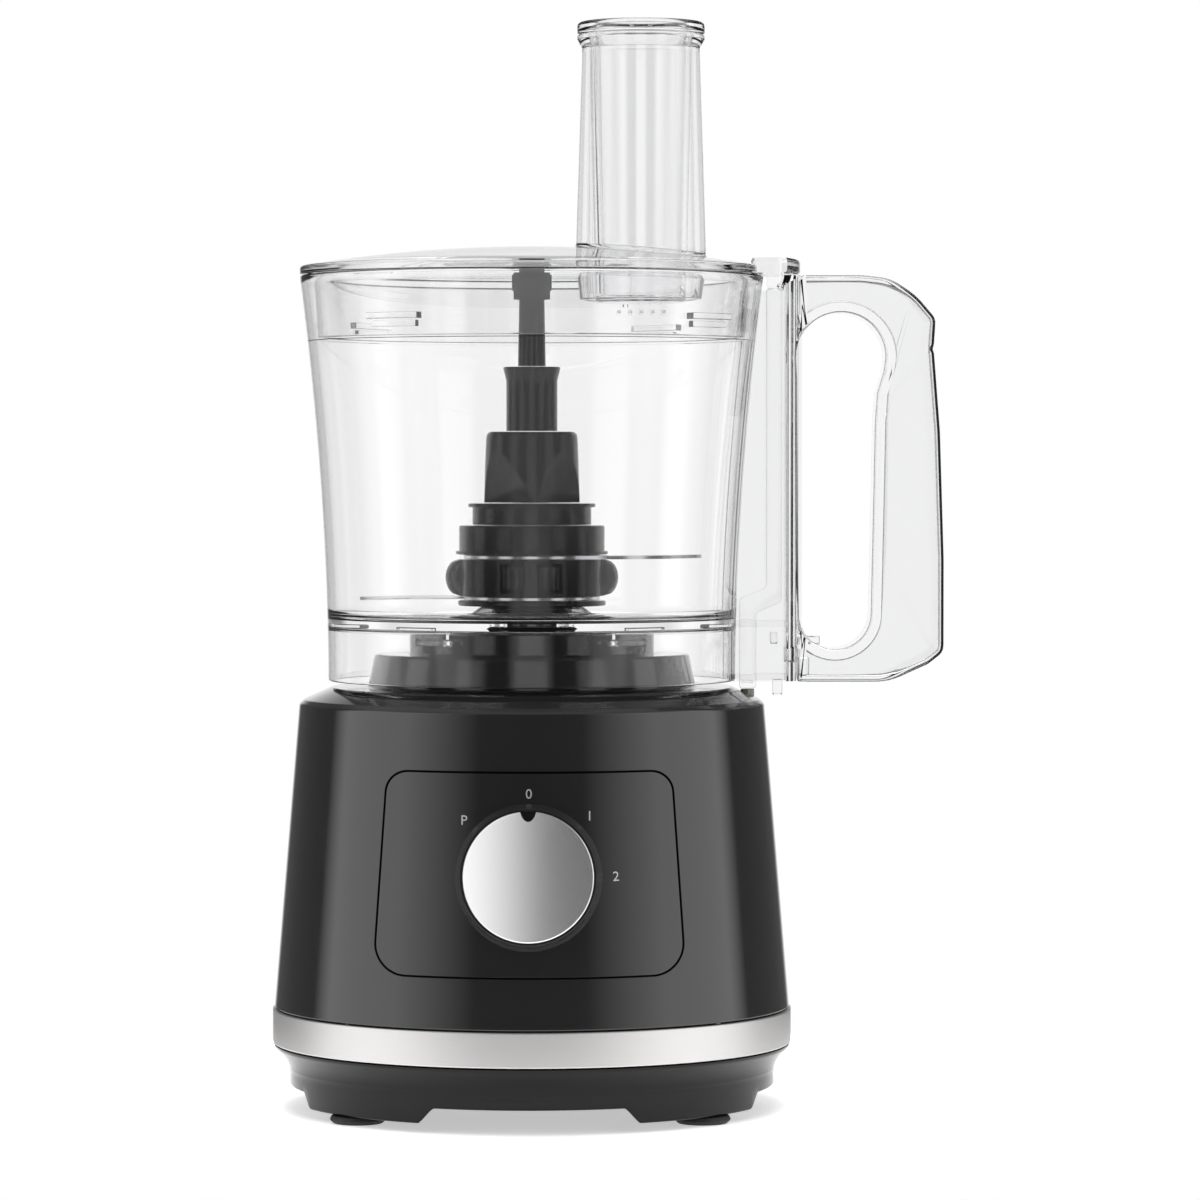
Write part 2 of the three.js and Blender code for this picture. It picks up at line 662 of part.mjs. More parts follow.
const hubZ = floorTop + bladeGap;
const lowBladeZ = hubZ + 1.8 + seat;
const hubBodyZ = lowBladeZ + bladeThickness + seat;
const hubBodyTop = hubBodyZ + 13;
const highBladeZ = hubBodyTop + seat;
const clampZ = highBladeZ + bladeThickness + seat;
const clampTop = clampZ + 10.4;
const collarZ = clampTop + seat;
const collarTop = collarZ + 7.6;
const sleeveZ = collarTop + seat;
const sleeveTop = sleeveZ + 25.4;
const neckZ = sleeveTop + seat;
const neckTop = neckZ + 23;
const chimneyBore = chimneyRadius + running + 0.4;
const socket = couplingRadius + running;

piece("knife_foot_ring", ring(chimneyBore, hubRadius, hubZ, hubZ + 1.8), knifeBlack);

function knifeHub() {
  const lobe = hubLobe - 10.2;
  const core = rod(hubRadius, hubBodyZ, hubBodyTop, bigRound);
  const lobes = [-1, 1].map((sign) => {
    const disc = new THREE.Shape().absarc(sign * lobe, (hubBodyZ + hubBodyTop) / 2, 10.2, 0, 2 * Math.PI);
    return overlap(across(disc, -8, 8), rod(60, hubBodyZ, hubBodyTop));
  });
  return cut(join(core, ...lobes),
    rod(chimneyBore, hubBodyZ - 1, floorTop + chimneyHeight + 1.2, midRound),
    rod(socket, hubBodyZ - 1, hubBodyTop + 1, midRound));
}
piece("knife_hub", knifeHub(), knifeBlack);

// One blade: a ring that the hub clamps, and an arm swept back like a sickle to the tip.
function blade(z0, bore, turn) {
  const arm = new THREE.Shape()
    .moveTo(8, -20)
    .quadraticCurveTo(bladeReach * 0.72, -24, bladeReach, 8)
    .lineTo(bladeReach - 3.5, 12)
    .quadraticCurveTo(bladeReach * 0.58, -2, 8, 16);
  const plate = join(
    rod(hubRadius - 2, z0, z0 + bladeThickness, midRound),
    raised(arm, z0, z0 + bladeThickness, 8),
  );
  return cut(plate, rod(bore, z0 - 1, z0 + bladeThickness + 1, midRound)).rotateZ(turn);
}
piece("blade_lower", blade(lowBladeZ, chimneyBore, Math.PI), steel);
piece("blade_upper", blade(highBladeZ, socket, 0), steel);

piece("knife_clamp_ring", turned([
  [socket, clampZ], [hubRadius + 0.8, clampZ], [hubRadius + 0.8, clampZ + 1.2],
  [hubRadius - 0.3, clampZ + 1.2], [hubRadius - 0.3, clampTop], [0, clampTop],
  [0, clampTop - 2.4], [socket, clampTop - 2.4],
]), knifeBlack);
piece("knife_collar", turned([
  [0, collarZ], [hubRadius - 5.2, collarZ], [hubRadius - 5.2, collarTop - 1.6],
  [hubRadius - 3.7, collarTop - 1.2], [hubRadius - 3.7, collarTop], [0, collarTop],
]), knifeBlack);

// A six-sided sleeve, twisted as it rises, with its top corners turned off.
function twistedSleeve() {
  const hexagon = new THREE.Shape([...Array(6).keys()].map((i) =>
    new THREE.Vector2(...place(sleeveRadius, 60 * i - 90))));
  const prism = new THREE.ExtrudeGeometry(hexagon, {
    depth: sleeveTop - sleeveZ, bevelEnabled: false, steps: 6,
  });
  const at = prism.attributes.position;
  for (let i = 0; i < at.count; i++) {
    const share = at.getZ(i) / (sleeveTop - sleeveZ);
    const spot = new THREE.Vector2(at.getX(i), at.getY(i))
      .rotateAround(new THREE.Vector2(), radians(-14 * share));
    at.setXY(i, spot.x, spot.y);
  }
  return overlap(prism.translate(0, 0, sleeveZ), turned([
    [0, sleeveZ], [sleeveRadius + 0.2, sleeveZ], [sleeveRadius + 0.2, sleeveTop - 11],
    [sleeveRadius - 2, sleeveTop - 1], [sleeveRadius - 3, sleeveTop], [0, sleeveTop],
  ], midRound));
}
piece("drive_sleeve", twistedSleeve(), knifeBlack);
piece("sleeve_neck", turned([
  [0, neckZ], [neckRadius, neckZ], [neckRadius, neckTop - 5],
  [neckRadius + 1.2, neckTop], [0, neckTop],
], midRound), knifeBlack);
const bearingTop = domeTop - lidWall - 1.6;
piece("upper_shaft", turned([
  [0, neckTop + seat], [upperShaftRadius, neckTop + seat],
  [upperShaftRadius - 0.8, bearingTop - 4], [0, bearingTop - 3],
], midRound), knifeBlack);

// ---------------------------------------------------------------- bowl
const bowlInnerAt = (z) => bowlRadiusAt(z) - bowlWall - (z < ledgeZ ? ledgeWidth : 0);
const levels = (from, to, count) =>
  [...Array(count + 1).keys()].map((i) => from + ((to - from) * i) / count);
const bowlOuter = levels(bowlBottom, rimZ, 4).map((z) => [bowlRadiusAt(z), z]);
const shelfZ = rimZ - shelfDrop;
const columnHalf = handleWidth / 2;
const rodFootX = [interlockX - rodFootHalf, interlockX + rodFootHalf];

function bowlShell() {
  const inside = [
    ...levels(floorTop + 3, ledgeZ - 0.1, 3).map((z) => [bowlInnerAt(z), z]),
    [bowlInnerAt(ledgeZ + 0.1), ledgeZ], [bowlInnerAt(rimZ), rimZ],
  ].reverse();
  const chimney = [
    [bowlInnerAt(floorTop) - 3, floorTop], [chimneyRadius + 9, floorTop],
    [chimneyRadius, floorTop + 5],
    [chimneyRadius - 0.3, floorTop + chimneyHeight],
    [chimneyRadius - chimneyWall, floorTop + chimneyHeight],
    [chimneyRadius - chimneyWall, floorZ],
  ];
  const under = [[bowlSkirtRadius - bowlWall, floorZ], [bowlSkirtRadius - bowlWall, bowlBottom]];
  const vessel = turned([...bowlOuter, ...inside, ...chimney, ...under]);
  const filled = turned([
    [0, bowlBottom - 1], ...bowlOuter.map(([r, z]) => [r - bowlWall / 2, z]), [0, rimZ],
  ]);
  const column = cut(
    block(bowlSkirtRadius - 8, columnReach, -columnHalf, columnHalf, bowlBottom - 0.2, rimZ),
    filled,
    block(bowlSkirtRadius - 10, columnReach - handleWall, handleWall - columnHalf,
      columnHalf - handleWall, columnFloor, rimZ + 1),
  );
  const shelves = quarters.map((direction) => sector(
    lidSkirtRadius + running, bowlInnerAt(shelfZ) + 1, direction + 53, lugAngle,
    shelfZ - shelfThickness, shelfZ));
  const hooks = quarters.map((direction) => join(
    sector(tierRadius + baseLugDepth + running + 0.3, tierRadius + baseLugDepth + 4.2,
      direction + 45, lugAngle, hookZ, floorZ + 1),
    sector(tierRadius + running, tierRadius + baseLugDepth + 2, direction + 45, lugAngle,
      hookZ, hookZ + 2),
  ));
  return cut(
    join(vessel, column, ...shelves, ...hooks),
    block(rodFootX[0] - running, rodFootX[1] + running, -rodWidth / 2 - running,
      rodWidth / 2 + running, bowlBottom - 2, columnFloor + 1),
    sector(camRadius - camHalfWidth - running, camRadius + camHalfWidth + running, 0,
      2 * lockAngle + 14, rimZ - camDepth - 1.6, rimZ + 1, 9),
  );
}
const hookZ = tierTop - 1 - baseLugThickness - running - 2;
piece("bowl", bowlShell(), clearPlastic);

// The handle's side outline, shrunk by an inset: a C whose open side meets the column.
function handleOutline(inset) {
  const left = columnReach + seat + inset;
  const right = handleReach - inset;
  const top = rimZ - inset;
  const bottom = bowlBottom - 0.2 + inset;
  const topArc = (gripTopX - columnReach) / 2 + inset;
  const topArcX = (gripTopX + columnReach) / 2;
  const topArcZ = rimZ - topBarHeight - (gripTopX - columnReach) / 2;
  const lowArc = (gripLowX - columnReach) / 2 + inset;
  const lowArcX = (gripLowX + columnReach) / 2;
  const lowArcZ = bowlBottom + bottomBarHeight + (gripLowX - columnReach) / 2;
  const topStart = Math.acos(Math.min(1, (topArcX - left) / topArc));
  const lowStart = Math.acos(Math.min(1, (lowArcX - left) / lowArc));
  const shape = new THREE.Shape();
  shape.moveTo(left, topArcZ + topArc * Math.sin(topStart));
  shape.lineTo(left, top);
  shape.lineTo(topArcX + 8 - inset * 0.3, top);
  shape.bezierCurveTo(topArcX + 20, top, topArcX + 27, top - 7, right - 3.1, top - 15.6);
  shape.lineTo(right - 2.7, top - 18);
  shape.quadraticCurveTo(right - 0.4, top - 60, right, (top + bottom) / 2 - 30);
  shape.lineTo(right - 0.4, bottom + 10.6);
  shape.bezierCurveTo(right - 8, bottom + 4, right - 14, bottom, right - 20.6, bottom);
  shape.lineTo(left, bottom);
  shape.lineTo(left, lowArcZ - lowArc * Math.sin(lowStart));
  shape.absarc(lowArcX, lowArcZ, lowArc, Math.PI + lowStart, 2 * Math.PI, false);
  shape.lineTo(gripMidX + inset, topArcZ - 13);
  shape.quadraticCurveTo(gripMidX + inset + 0.8, topArcZ - 6, topArcX + topArc, topArcZ);
  shape.absarc(topArcX, topArcZ, topArc, 0, Math.PI - topStart, false);
  return shape;
}
const handleBlank = across(handleOutline(0), -columnHalf, columnHalf, 7);
const handlePocket = across(handleOutline(handleWall), -columnHalf + 2.5, columnHalf + 1, 7);
piece("bowl_handle", cut(handleBlank, handlePocket), clearPlastic);
piece("handle_cover",
  across(handleOutline(handleWall + seat), columnHalf - 2.2, columnHalf, 7), clearPlastic);

// ---------------------------------------------------------------- lid and pusher
const domeAt = (r) => domeTop - lidDome * (r / bowlRimRadius) ** 2;
const tubeSegments = 20;

// The feed tube's outer face, or its bore with an inset.
function tubeSolid(inset, z0, z1) {
  const radiusAt = (z) =>
    tubeBottomRadius - inset
    + (tubeTopRadius - tubeBottomRadius) * ((z - tubeBottom) / (tubeTop - tubeBottom));
  return turned([[0, z0], [radiusAt(z0), z0], [radiusAt(z1), z1], [0, z1]], tubeSegments)
    .translate(tubeOffset, 0, 0);
}

function lidShell() {
  const radii = levels(0, bowlRimRadius - 3, 3);
  const shell = turned([
    ...radii.map((r) => [r, domeAt(r)]),
    [bowlRimRadius, flangeTop - 0.6], [bowlRimRadius, lidZ],
    [lidSkirtRadius, lidZ], [lidSkirtRadius, rimZ - lidSkirtDepth],
    [lidSkirtRadius - lidSkirtWall, rimZ - lidSkirtDepth],
    [lidSkirtRadius - lidSkirtWall, domeAt(lidSkirtRadius) - lidWall],
    ...levels(lidSkirtRadius - lidSkirtWall - 8, 0, 2).map((r) => [r, domeAt(r) - lidWall]),
  ]);
  const lugs = quarters.map((direction) => sector(
    lidSkirtRadius - 1, lidSkirtRadius + lidLugDepth, direction + 53, lugAngle - 2,
    shelfZ - shelfThickness - running - 2.2, shelfZ - shelfThickness - running));
  const tab = sector(bowlRimRadius - 3, tabReach, -5, 30, lidZ, lidZ + tabThickness, 6);
  const camSpan = lockAngle + 5;
  const deepY = rodWidth / 2 + 1; // the cam is deepest here, and rises towards -Y
  const rampStart = -camRadius / 2;
  const slope = (interlockTravel + 0.6) / (camRadius * Math.sin(radians(lockAngle)));
  const rampSide = new THREE.Shape([
    [rampStart, lidZ + 12],
    [rampStart, camBottom + slope * (deepY - rampStart)],
    [deepY, camBottom], [camRadius, camBottom], [camRadius, lidZ + 12],
  ].map(([y, z]) => new THREE.Vector2(y, z)));
  const ramp = across(rampSide, -camRadius - 10, -camRadius + 10).rotateZ(Math.PI / 2);
  const cam = overlap(
    sector(camRadius - camHalfWidth, camRadius + camHalfWidth, 2.5 - camSpan / 2, camSpan,
      camBottom - 1, lidZ + 0.6, 8),
    ramp);
  const boss = rod(lidBearingRadius + seat + 1.8, bearingTop - 12, domeTop - lidWall + 0.4, midRound);
  const lip = turned([
    [tubeTopRadius - 1, tubeTop - 5], [tubeLipRadius, tubeTop - 1.4],
    [tubeLipRadius, tubeTop], [tubeTopRadius - 1, tubeTop],
  ], tubeSegments).translate(tubeOffset, 0, 0);
  return cut(
    join(shell, ...lugs, tab, cam, boss, tubeSolid(0, tubeBottom, tubeTop), lip),
    tubeSolid(tubeWall, tubeBottom - 1, tubeTop + 1),
    rod(lidBearingRadius + seat, bearingTop - 20, bearingTop + seat, midRound),
  );
}
const camBottom = rimZ - camDepth;
const lidBearingRadius = 7.4;
piece("lid", lidShell(), clearPlastic);

piece("lid_bearing", turned([
  [upperShaftRadius + running, bearingTop - 14], [lidBearingRadius - 0.6, bearingTop - 14],
  [lidBearingRadius - 0.6, bearingTop - 11], [lidBearingRadius, bearingTop - 10.6],
  [lidBearingRadius, bearingTop], [0, bearingTop],
  [0, bearingTop - 2], [upperShaftRadius + running, bearingTop - 2],
], midRound), satinBlack);

const pusherZ = tubeTop + seat;
const pusherTop = pusherZ + pusherLip;
const pusherBottom = tubeBottom - pusherDrop;
const pusherOuter = tubeTopRadius - tubeWall - pusherGap;

function pusherCup() {
  const low = pusherOuter - pusherTaper;
  const cup = turned([
    [0, pusherBottom + 4], [low, pusherBottom + 4], [pusherOuter, tubeTop],
    [pusherOuter, pusherZ], [tubeLipRadius, pusherZ], [tubeLipRadius, pusherTop - 1.2],
    [tubeLipRadius - 1.4, pusherTop], [pusherOuter - pusherWall + 1, pusherTop],
    [pusherOuter - pusherWall, pusherTop - 3], [low - pusherWall, pusherBottom + 6.4],
    [0, pusherBottom + 6.4],
  ], tubeSegments);
  const grips = [-10, -5, 0, 5, 10].map((x) =>
    block(x - 0.8, x + 0.8, -9, 9, pusherBottom, pusherBottom + 5));
  return join(cup, ...grips).translate(tubeOffset, 0, 0);
}
piece("pusher", pusherCup(), clearPlastic);

// ---------------------------------------------------------------- interlock
const rodTop = camBottom - 0.4;
const rodFootZ = bowlBottom - 3;
const buttonTop = rodFootZ - seat;
const rodOutline = new THREE.Shape([
  [rodX - rodWidth / 2, rodTop], [rodX - rodWidth / 2, columnFloor + 12],
  [rodFootX[0], columnFloor + 8], [rodFootX[0], rodFootZ], [rodFootX[1], rodFootZ],
  [rodFootX[1], columnFloor + 3], [rodX + rodWidth / 2, columnFloor + 7],
  [rodX + rodWidth / 2, rodTop],
].map(([x, z]) => new THREE.Vector2(x, z)));
piece("interlock_rod", across(rodOutline, -rodWidth / 2, rodWidth / 2), clearPlastic);

const springTop = housingTop - 11;
const springCoils = 6;
const springHeight = 9.4;
const microTop = springTop - springHeight - 0.6;
piece("interlock_button", turned([
  [0, microTop + seat], [1.4, microTop + seat], [1.4, springTop + seat],
  [buttonCollar, springTop + seat], [buttonCollar, springTop + 1.8], [1.7, springTop + 1.8],
  [1.7, shoulderZ - 5], [buttonRadius, shoulderZ - 5], [buttonRadius, buttonTop], [0, buttonTop],
], 8).translate(interlockX, 0, 0), whiteNylon);

class SpringCurve extends THREE.Curve {
  getPoint(t, target = new THREE.Vector3()) {
    const turn = 2 * Math.PI * springCoils * t;
    return target.set(2.2 * Math.cos(turn), 2.2 * Math.sin(turn), 0.3 + (springHeight - 0.6) * t);
  }
}
const wire = new THREE.Shape().absarc(0, 0, 0.3, 0, 2 * Math.PI);
const springGeometry = new THREE.ExtrudeGeometry(wire, {
  extrudePath: new SpringCurve(), steps: springCoils * 6, curveSegments: 2, bevelEnabled: false,
});
piece("interlock_spring",
  springGeometry.translate(interlockX, 0, springTop - springHeight), steel);
piece("interlock_switch",
  block(interlockX - 17, interlockX + 2, -3.2, 3.2, microTop - 12, microTop), satinBlack);

// ---------------------------------------------------------------- the part's own frame
assembly.updateMatrixWorld(true);
const bounds = new THREE.Box3().setFromObject(assembly, true);
const centre = bounds.getCenter(new THREE.Vector3());
assembly.position.set(-centre.x, -centre.y, -bounds.min.z);

export default root;
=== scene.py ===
import json
import math

import bmesh
import bpy
import numpy as np
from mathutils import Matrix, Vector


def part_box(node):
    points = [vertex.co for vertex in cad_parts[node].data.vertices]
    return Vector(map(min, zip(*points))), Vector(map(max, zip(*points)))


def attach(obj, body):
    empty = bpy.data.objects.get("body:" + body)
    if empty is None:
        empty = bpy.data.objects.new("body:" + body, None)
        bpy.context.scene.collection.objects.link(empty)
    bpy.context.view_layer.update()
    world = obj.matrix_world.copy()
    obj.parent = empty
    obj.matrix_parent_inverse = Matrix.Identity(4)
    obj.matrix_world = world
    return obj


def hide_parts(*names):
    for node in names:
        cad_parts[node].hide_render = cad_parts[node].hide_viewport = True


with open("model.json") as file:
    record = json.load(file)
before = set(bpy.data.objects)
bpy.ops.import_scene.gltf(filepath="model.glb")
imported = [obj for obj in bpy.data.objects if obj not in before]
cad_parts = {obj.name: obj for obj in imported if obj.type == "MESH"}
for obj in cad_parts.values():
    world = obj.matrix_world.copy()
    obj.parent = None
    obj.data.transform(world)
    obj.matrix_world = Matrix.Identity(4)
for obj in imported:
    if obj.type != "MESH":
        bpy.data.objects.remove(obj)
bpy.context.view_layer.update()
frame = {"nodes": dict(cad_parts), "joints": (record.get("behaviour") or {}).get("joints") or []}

# The table, the light and the eye. The food processor stands on a pale table top in a small
# studio: bright paper behind it, a tall soft box on each side, and shade between them, so that
# the gloss black housing shows two soft strips and the clear plastic gets darker edges.
eye_distance = 1.934
eye_height = 0.2346
eye_right = 0.0245
eye_down = math.radians(1.545)

band_low, band_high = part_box("trim_band")
axis_x = (band_low.x + band_high.x) / 2
axis_y = (band_low.y + band_high.y) / 2

eye = bpy.data.objects.new("eye", bpy.data.cameras.new("eye"))
eye.location = (axis_x + eye_right, axis_y - eye_distance, eye_height)
eye.rotation_euler = (math.pi / 2 - eye_down, 0, 0)
eye.data.lens = 161.3
eye.data.sensor_width = 36
bpy.context.scene.collection.objects.link(eye)
bpy.context.scene.camera = eye
bpy.context.scene.view_settings.view_transform = "Standard"
bpy.context.scene.cycles.max_bounces = 32
bpy.context.scene.cycles.transmission_bounces = 32


def wire_up(tree, kind, inputs=None, **settings):
    """Adds a node, sets its plain settings, and fills its sockets with values or links."""
    node = tree.nodes.new(kind)
    for key, value in settings.items():
        setattr(node, key, value)
    for socket, value in (inputs or {}).items():
        if isinstance(value, bpy.types.NodeSocket):
            tree.links.new(value, node.inputs[socket])
        else:
            node.inputs[socket].default_value = value
    return node


# Brightness round the studio, by the angle away from the eye's side: shade in front, a tall soft
# box, shade again, and bright paper behind. The left side mirrors the right. Clear plastic looks
# at tall white and black panels in turn, under a dark ceiling, which draw its edges as fine lines.
# Below the horizon it looks at a white floor.
studio_walls = [(0, 0.12), (25, 0.14), (45, 0.95), (63, 1.6), (101, 1.5), (113, 0.12), (162, 0.12),
                (172, 1.0), (180, 1.0)]
panel_walls = [(0, 1.0), (9, 1.0), (14, 0.04), (32, 0.04), (37, 1.0), (53, 1.0), (58, 0.08), (78, 0.08),
               (83, 1.1), (98, 1.1), (103, 0.3), (122, 0.35), (128, 1.0), (144, 1.0), (150, 0.75),
               (160, 0.85), (169, 1.0), (180, 1.0)]
studio = bpy.data.worlds.new("studio")
bpy.context.scene.world = studio
studio.use_nodes = True
sky = studio.node_tree
sky.nodes.clear()
heading = wire_up(sky, "ShaderNodeTexCoord").outputs["Generated"]
split = wire_up(sky, "ShaderNodeSeparateXYZ", {"Vector": heading})
sideways = wire_up(sky, "ShaderNodeMath", {0: split.outputs["X"]}, operation="ABSOLUTE")
mirrored = wire_up(sky, "ShaderNodeCombineXYZ", {"X": sideways.outputs[0], "Y": split.outputs["Y"]})
around = wire_up(sky, "ShaderNodeTexGradient", {"Vector": mirrored.outputs[0]}, gradient_type="RADIAL")
half_turn = wire_up(sky, "ShaderNodeMapRange", {"Value": around.outputs["Fac"], "From Min": 0.25,
                                                "From Max": 0.75})


def wall_light(stops):
    """A ramp of brightness by angle."""
    ramp = wire_up(sky, "ShaderNodeValToRGB", {"Fac": half_turn.outputs["Result"]})
    for angle, shade in stops:
        ramp.color_ramp.elements.new(angle / 180).color = (shade, shade, shade, 1)
    for spare in (0, -1):
        ramp.color_ramp.elements.remove(ramp.color_ramp.elements[spare])
    return ramp.outputs["Color"]


def dimmed(wall, height, low, high, shade):
    """A wall's light that fades to a shade between two heights of the direction looked in."""
    share = wire_up(sky, "ShaderNodeMapRange", {"Value": height, "From Min": low, "From Max": high},
                    interpolation_type="SMOOTHSTEP")
    return wire_up(sky, "ShaderNodeMixRGB", {"Fac": share.outputs["Result"], "Color1": wall,
                                             "Color2": (shade, shade, shade, 1)}).outputs["Color"]


path = wire_up(sky, "ShaderNodeLightPath")
downward = wire_up(sky, "ShaderNodeMath", {0: split.outputs["Z"], 1: -1.0}, operation="MULTIPLY").outputs[0]
over_floor = dimmed(wall_light(studio_walls), downward, 0.15, 0.45, 0.25)
panels_over_floor = dimmed(wall_light(panel_walls), downward, 0.08, 0.18, 1.0)
room = wire_up(sky, "ShaderNodeMixRGB",
               {"Fac": path.outputs["Is Transmission Ray"],
                "Color1": dimmed(over_floor, split.outputs["Z"], 0.5, 0.8, 0.45),
                "Color2": dimmed(panels_over_floor, split.outputs["Z"], 0.25, 0.6, 0.1)})
room_light = wire_up(sky, "ShaderNodeBackground", {"Color": room.outputs["Color"], "Strength": 1.0})
paper = wire_up(sky, "ShaderNodeBackground", {"Color": (1, 1, 1, 1), "Strength": 1.0})
choice = wire_up(sky, "ShaderNodeMixShader", {"Fac": path.outputs["Is Camera Ray"],
                                              1: room_light.outputs[0], 2: paper.outputs[0]})
wire_up(sky, "ShaderNodeOutputWorld", {"Surface": choice.outputs[0]})

lamp = bpy.data.lights.new("overhead_softbox", "AREA")
lamp.shape = "DISK"
lamp.size = 1.6
lamp.energy = 60
overhead_box = bpy.data.objects.new("overhead_softbox", lamp)
overhead_box.location = (axis_x, axis_y - 0.3, 2.2)
overhead_box.rotation_euler = (math.radians(-8), 0, 0)
overhead_box.visible_camera = False
overhead_box.visible_glossy = False
overhead_box.visible_transmission = False
bpy.context.scene.collection.objects.link(overhead_box)


def finish_of(name, colour, roughness, metallic=0.0, **sockets):
    """A Principled material with its uniform values set on the shader itself."""
    material = bpy.data.materials.new(name)
    material.use_nodes = True
    shader = material.node_tree.nodes["Principled BSDF"]
    shader.inputs["Base Color"].default_value = (*colour, 1)
    shader.inputs["Roughness"].default_value = roughness
    shader.inputs["Metallic"].default_value = metallic
    for socket, value in sockets.items():
        shader.inputs[socket.replace("_", " ")].default_value = value
    return material


def speckle(material, size, depth, low, high, stretch=(1, 1, 1)):
    """Noise in millimetres along each axis that lifts the surface by a depth and runs the
    roughness between two values."""
    tree = material.node_tree
    shader = tree.nodes["Principled BSDF"]
    where = wire_up(tree, "ShaderNodeTexCoord").outputs["Object"]
    scaled = wire_up(tree, "ShaderNodeMapping", {"Vector": where, "Scale": stretch})
    noise = wire_up(tree, "ShaderNodeTexNoise",
                    {"Vector": scaled.outputs["Vector"], "Scale": 1000 / size, "Detail": 1.0})
    span = wire_up(tree, "ShaderNodeMapRange",
                   {"Value": noise.outputs["Fac"], "From Min": 0.3, "From Max": 0.7,
                    "To Min": low, "To Max": high})
    tree.links.new(span.outputs["Result"], shader.inputs["Roughness"])
    bump = wire_up(tree, "ShaderNodeBump",
                   {"Height": noise.outputs["Fac"], "Distance": depth / 1000, "Strength": 1.0})
    tree.links.new(bump.outputs["Normal"], shader.inputs["Normal"])
    return material


table_radius = 0.26
rim_angle = np.linspace(0, 2 * math.pi, 129)[:-1]
table = bpy.data.meshes.new("table_top")
table.from_pydata(np.stack([np.cos(rim_angle) * table_radius, np.sin(rim_angle) * table_radius,
                            np.zeros(128)], -1).tolist(), [], [list(range(128))])
table_top = bpy.data.objects.new("table_top", table)
table.materials.append(speckle(finish_of("pale_table", (0.93, 0.93, 0.93), 0.6, Emission_Strength=0.5),
                               30, 0.02, 0.55, 0.65))
bpy.context.scene.collection.objects.link(table_top)


# Rubber feet: four round pads, moulded in black rubber, each with a stem that is pulled up
# through the bottom cover. The pad is a shallow dish that grips the table with its rim.
# Sizes from here on are in millimetres about the drive axis; the mesh builder makes them metres.
def cad(node):
    """The lowest and highest corners of a CAD node, in millimetres about the drive axis."""
    low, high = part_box(node)
    return (np.array([low, high]) - [axis_x, axis_y, 0]) * 1000


def rounded(corners, fillets, closed=False, steps=6):
    """A profile through the corners. Each corner with a fillet is turned by an arc that meets both
    sides at a tangent, with one more point just before and after it to keep the flats flat."""
    corners = np.asarray(corners, float)
    count = len(corners)
    points = []
    for i, (corner, fillet) in enumerate(zip(corners, fillets)):
        if fillet == 0 or (not closed and i in (0, count - 1)):
            points.append(corner[None])
            continue
        back = corners[i - 1] - corner
        ahead = corners[(i + 1) % count] - corner
        back /= np.linalg.norm(back)
        ahead /= np.linalg.norm(ahead)
        half = math.acos(np.clip(back @ ahead, -1, 1)) / 2
        turn = math.pi - 2 * half
        middle = corner + (back + ahead) / np.linalg.norm(back + ahead) * fillet / math.sin(half)
        start = corner + back * fillet / math.tan(half)
        end = corner + ahead * fillet / math.tan(half)
        t = np.linspace(0, 1, steps + 1)[:, None]
        arc = middle + (np.sin((1 - t) * turn) * (start - middle)
                        + np.sin(t * turn) * (end - middle)) / math.sin(turn)
        hold = 0.12 * fillet
        points.append(np.vstack([start + back * hold, arc, end + ahead * hold]))
    return np.vstack(points)


def skin(points, wrap_rows=False, wrap_columns=False, caps=False):
    """Vertices and faces of a grid of points, joined round on itself where it wraps. Caps close
    the first and the last row."""
    rows, columns = points.shape[:2]
    index = np.arange(rows * columns).reshape(rows, columns)
    if wrap_rows:
        index = np.vstack([index, index[:1]])
    if wrap_columns:
        index = np.hstack([index, index[:, :1]])
    faces = np.stack([index[:-1, :-1], index[1:, :-1], index[1:, 1:], index[:-1, 1:]], -1)
    faces = faces.reshape(-1, 4).tolist()
    if caps:
        faces += [index[0, :columns].tolist(), index[-1, :columns].tolist()]
    return points.reshape(-1, 3), faces


def solid(name, *skins, hollows=(), sharp=None):
    """A smooth mesh in metres from closed skins that face out, and hollows that face in."""
    shape = bmesh.new()
    for vertices, faces, inward in [(*s, False) for s in skins] + [(*s, True) for s in hollows]:
        part = bpy.data.meshes.new("part")
        part.from_pydata((vertices / 1000 + [axis_x, axis_y, 0]).tolist(), [], faces)
        one = bmesh.new()
        one.from_mesh(part)
        bmesh.ops.remove_doubles(one, verts=one.verts, dist=2e-6)
        bmesh.ops.recalc_face_normals(one, faces=one.faces)
        if inward:
            bmesh.ops.reverse_faces(one, faces=one.faces)
        one.to_mesh(part)
        one.free()
        shape.from_mesh(part)
        bpy.data.meshes.remove(part)
    mesh = bpy.data.meshes.new(name)
    shape.to_mesh(mesh)
    shape.free()
    mesh.polygons.foreach_set("use_smooth", np.ones(len(mesh.polygons), bool))
    mesh.set_sharp_from_angle(angle=math.radians(sharp or 40))
    piece = bpy.data.objects.new(name, mesh)
    bpy.context.scene.collection.objects.link(piece)
    return piece


def revolve(profile, centre=(0, 0), turns=160, closed=False):
    """Each [radius, height] point of the profile carried round an upright axis."""
    profile = np.asarray(profile, float)
    angle = np.arange(turns) * 2 * math.pi / turns
    x = centre[0] + np.outer(np.cos(angle), profile[:, 0])
    y = centre[1] + np.outer(np.sin(angle), profile[:, 0])
    z = np.broadcast_to(profile[:, 1], x.shape)
    return skin(np.stack([x, y, z], -1), wrap_rows=True, wrap_columns=closed)


def dress(piece, material, body, slot, *nodes):
    """Gives a piece its finish and the body it moves with, and hides the nodes it stands for. The slot is
    not used.
    """
    piece.data.materials.append(material)
    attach(piece, body)
    if nodes:
        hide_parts(*nodes)
    return piece


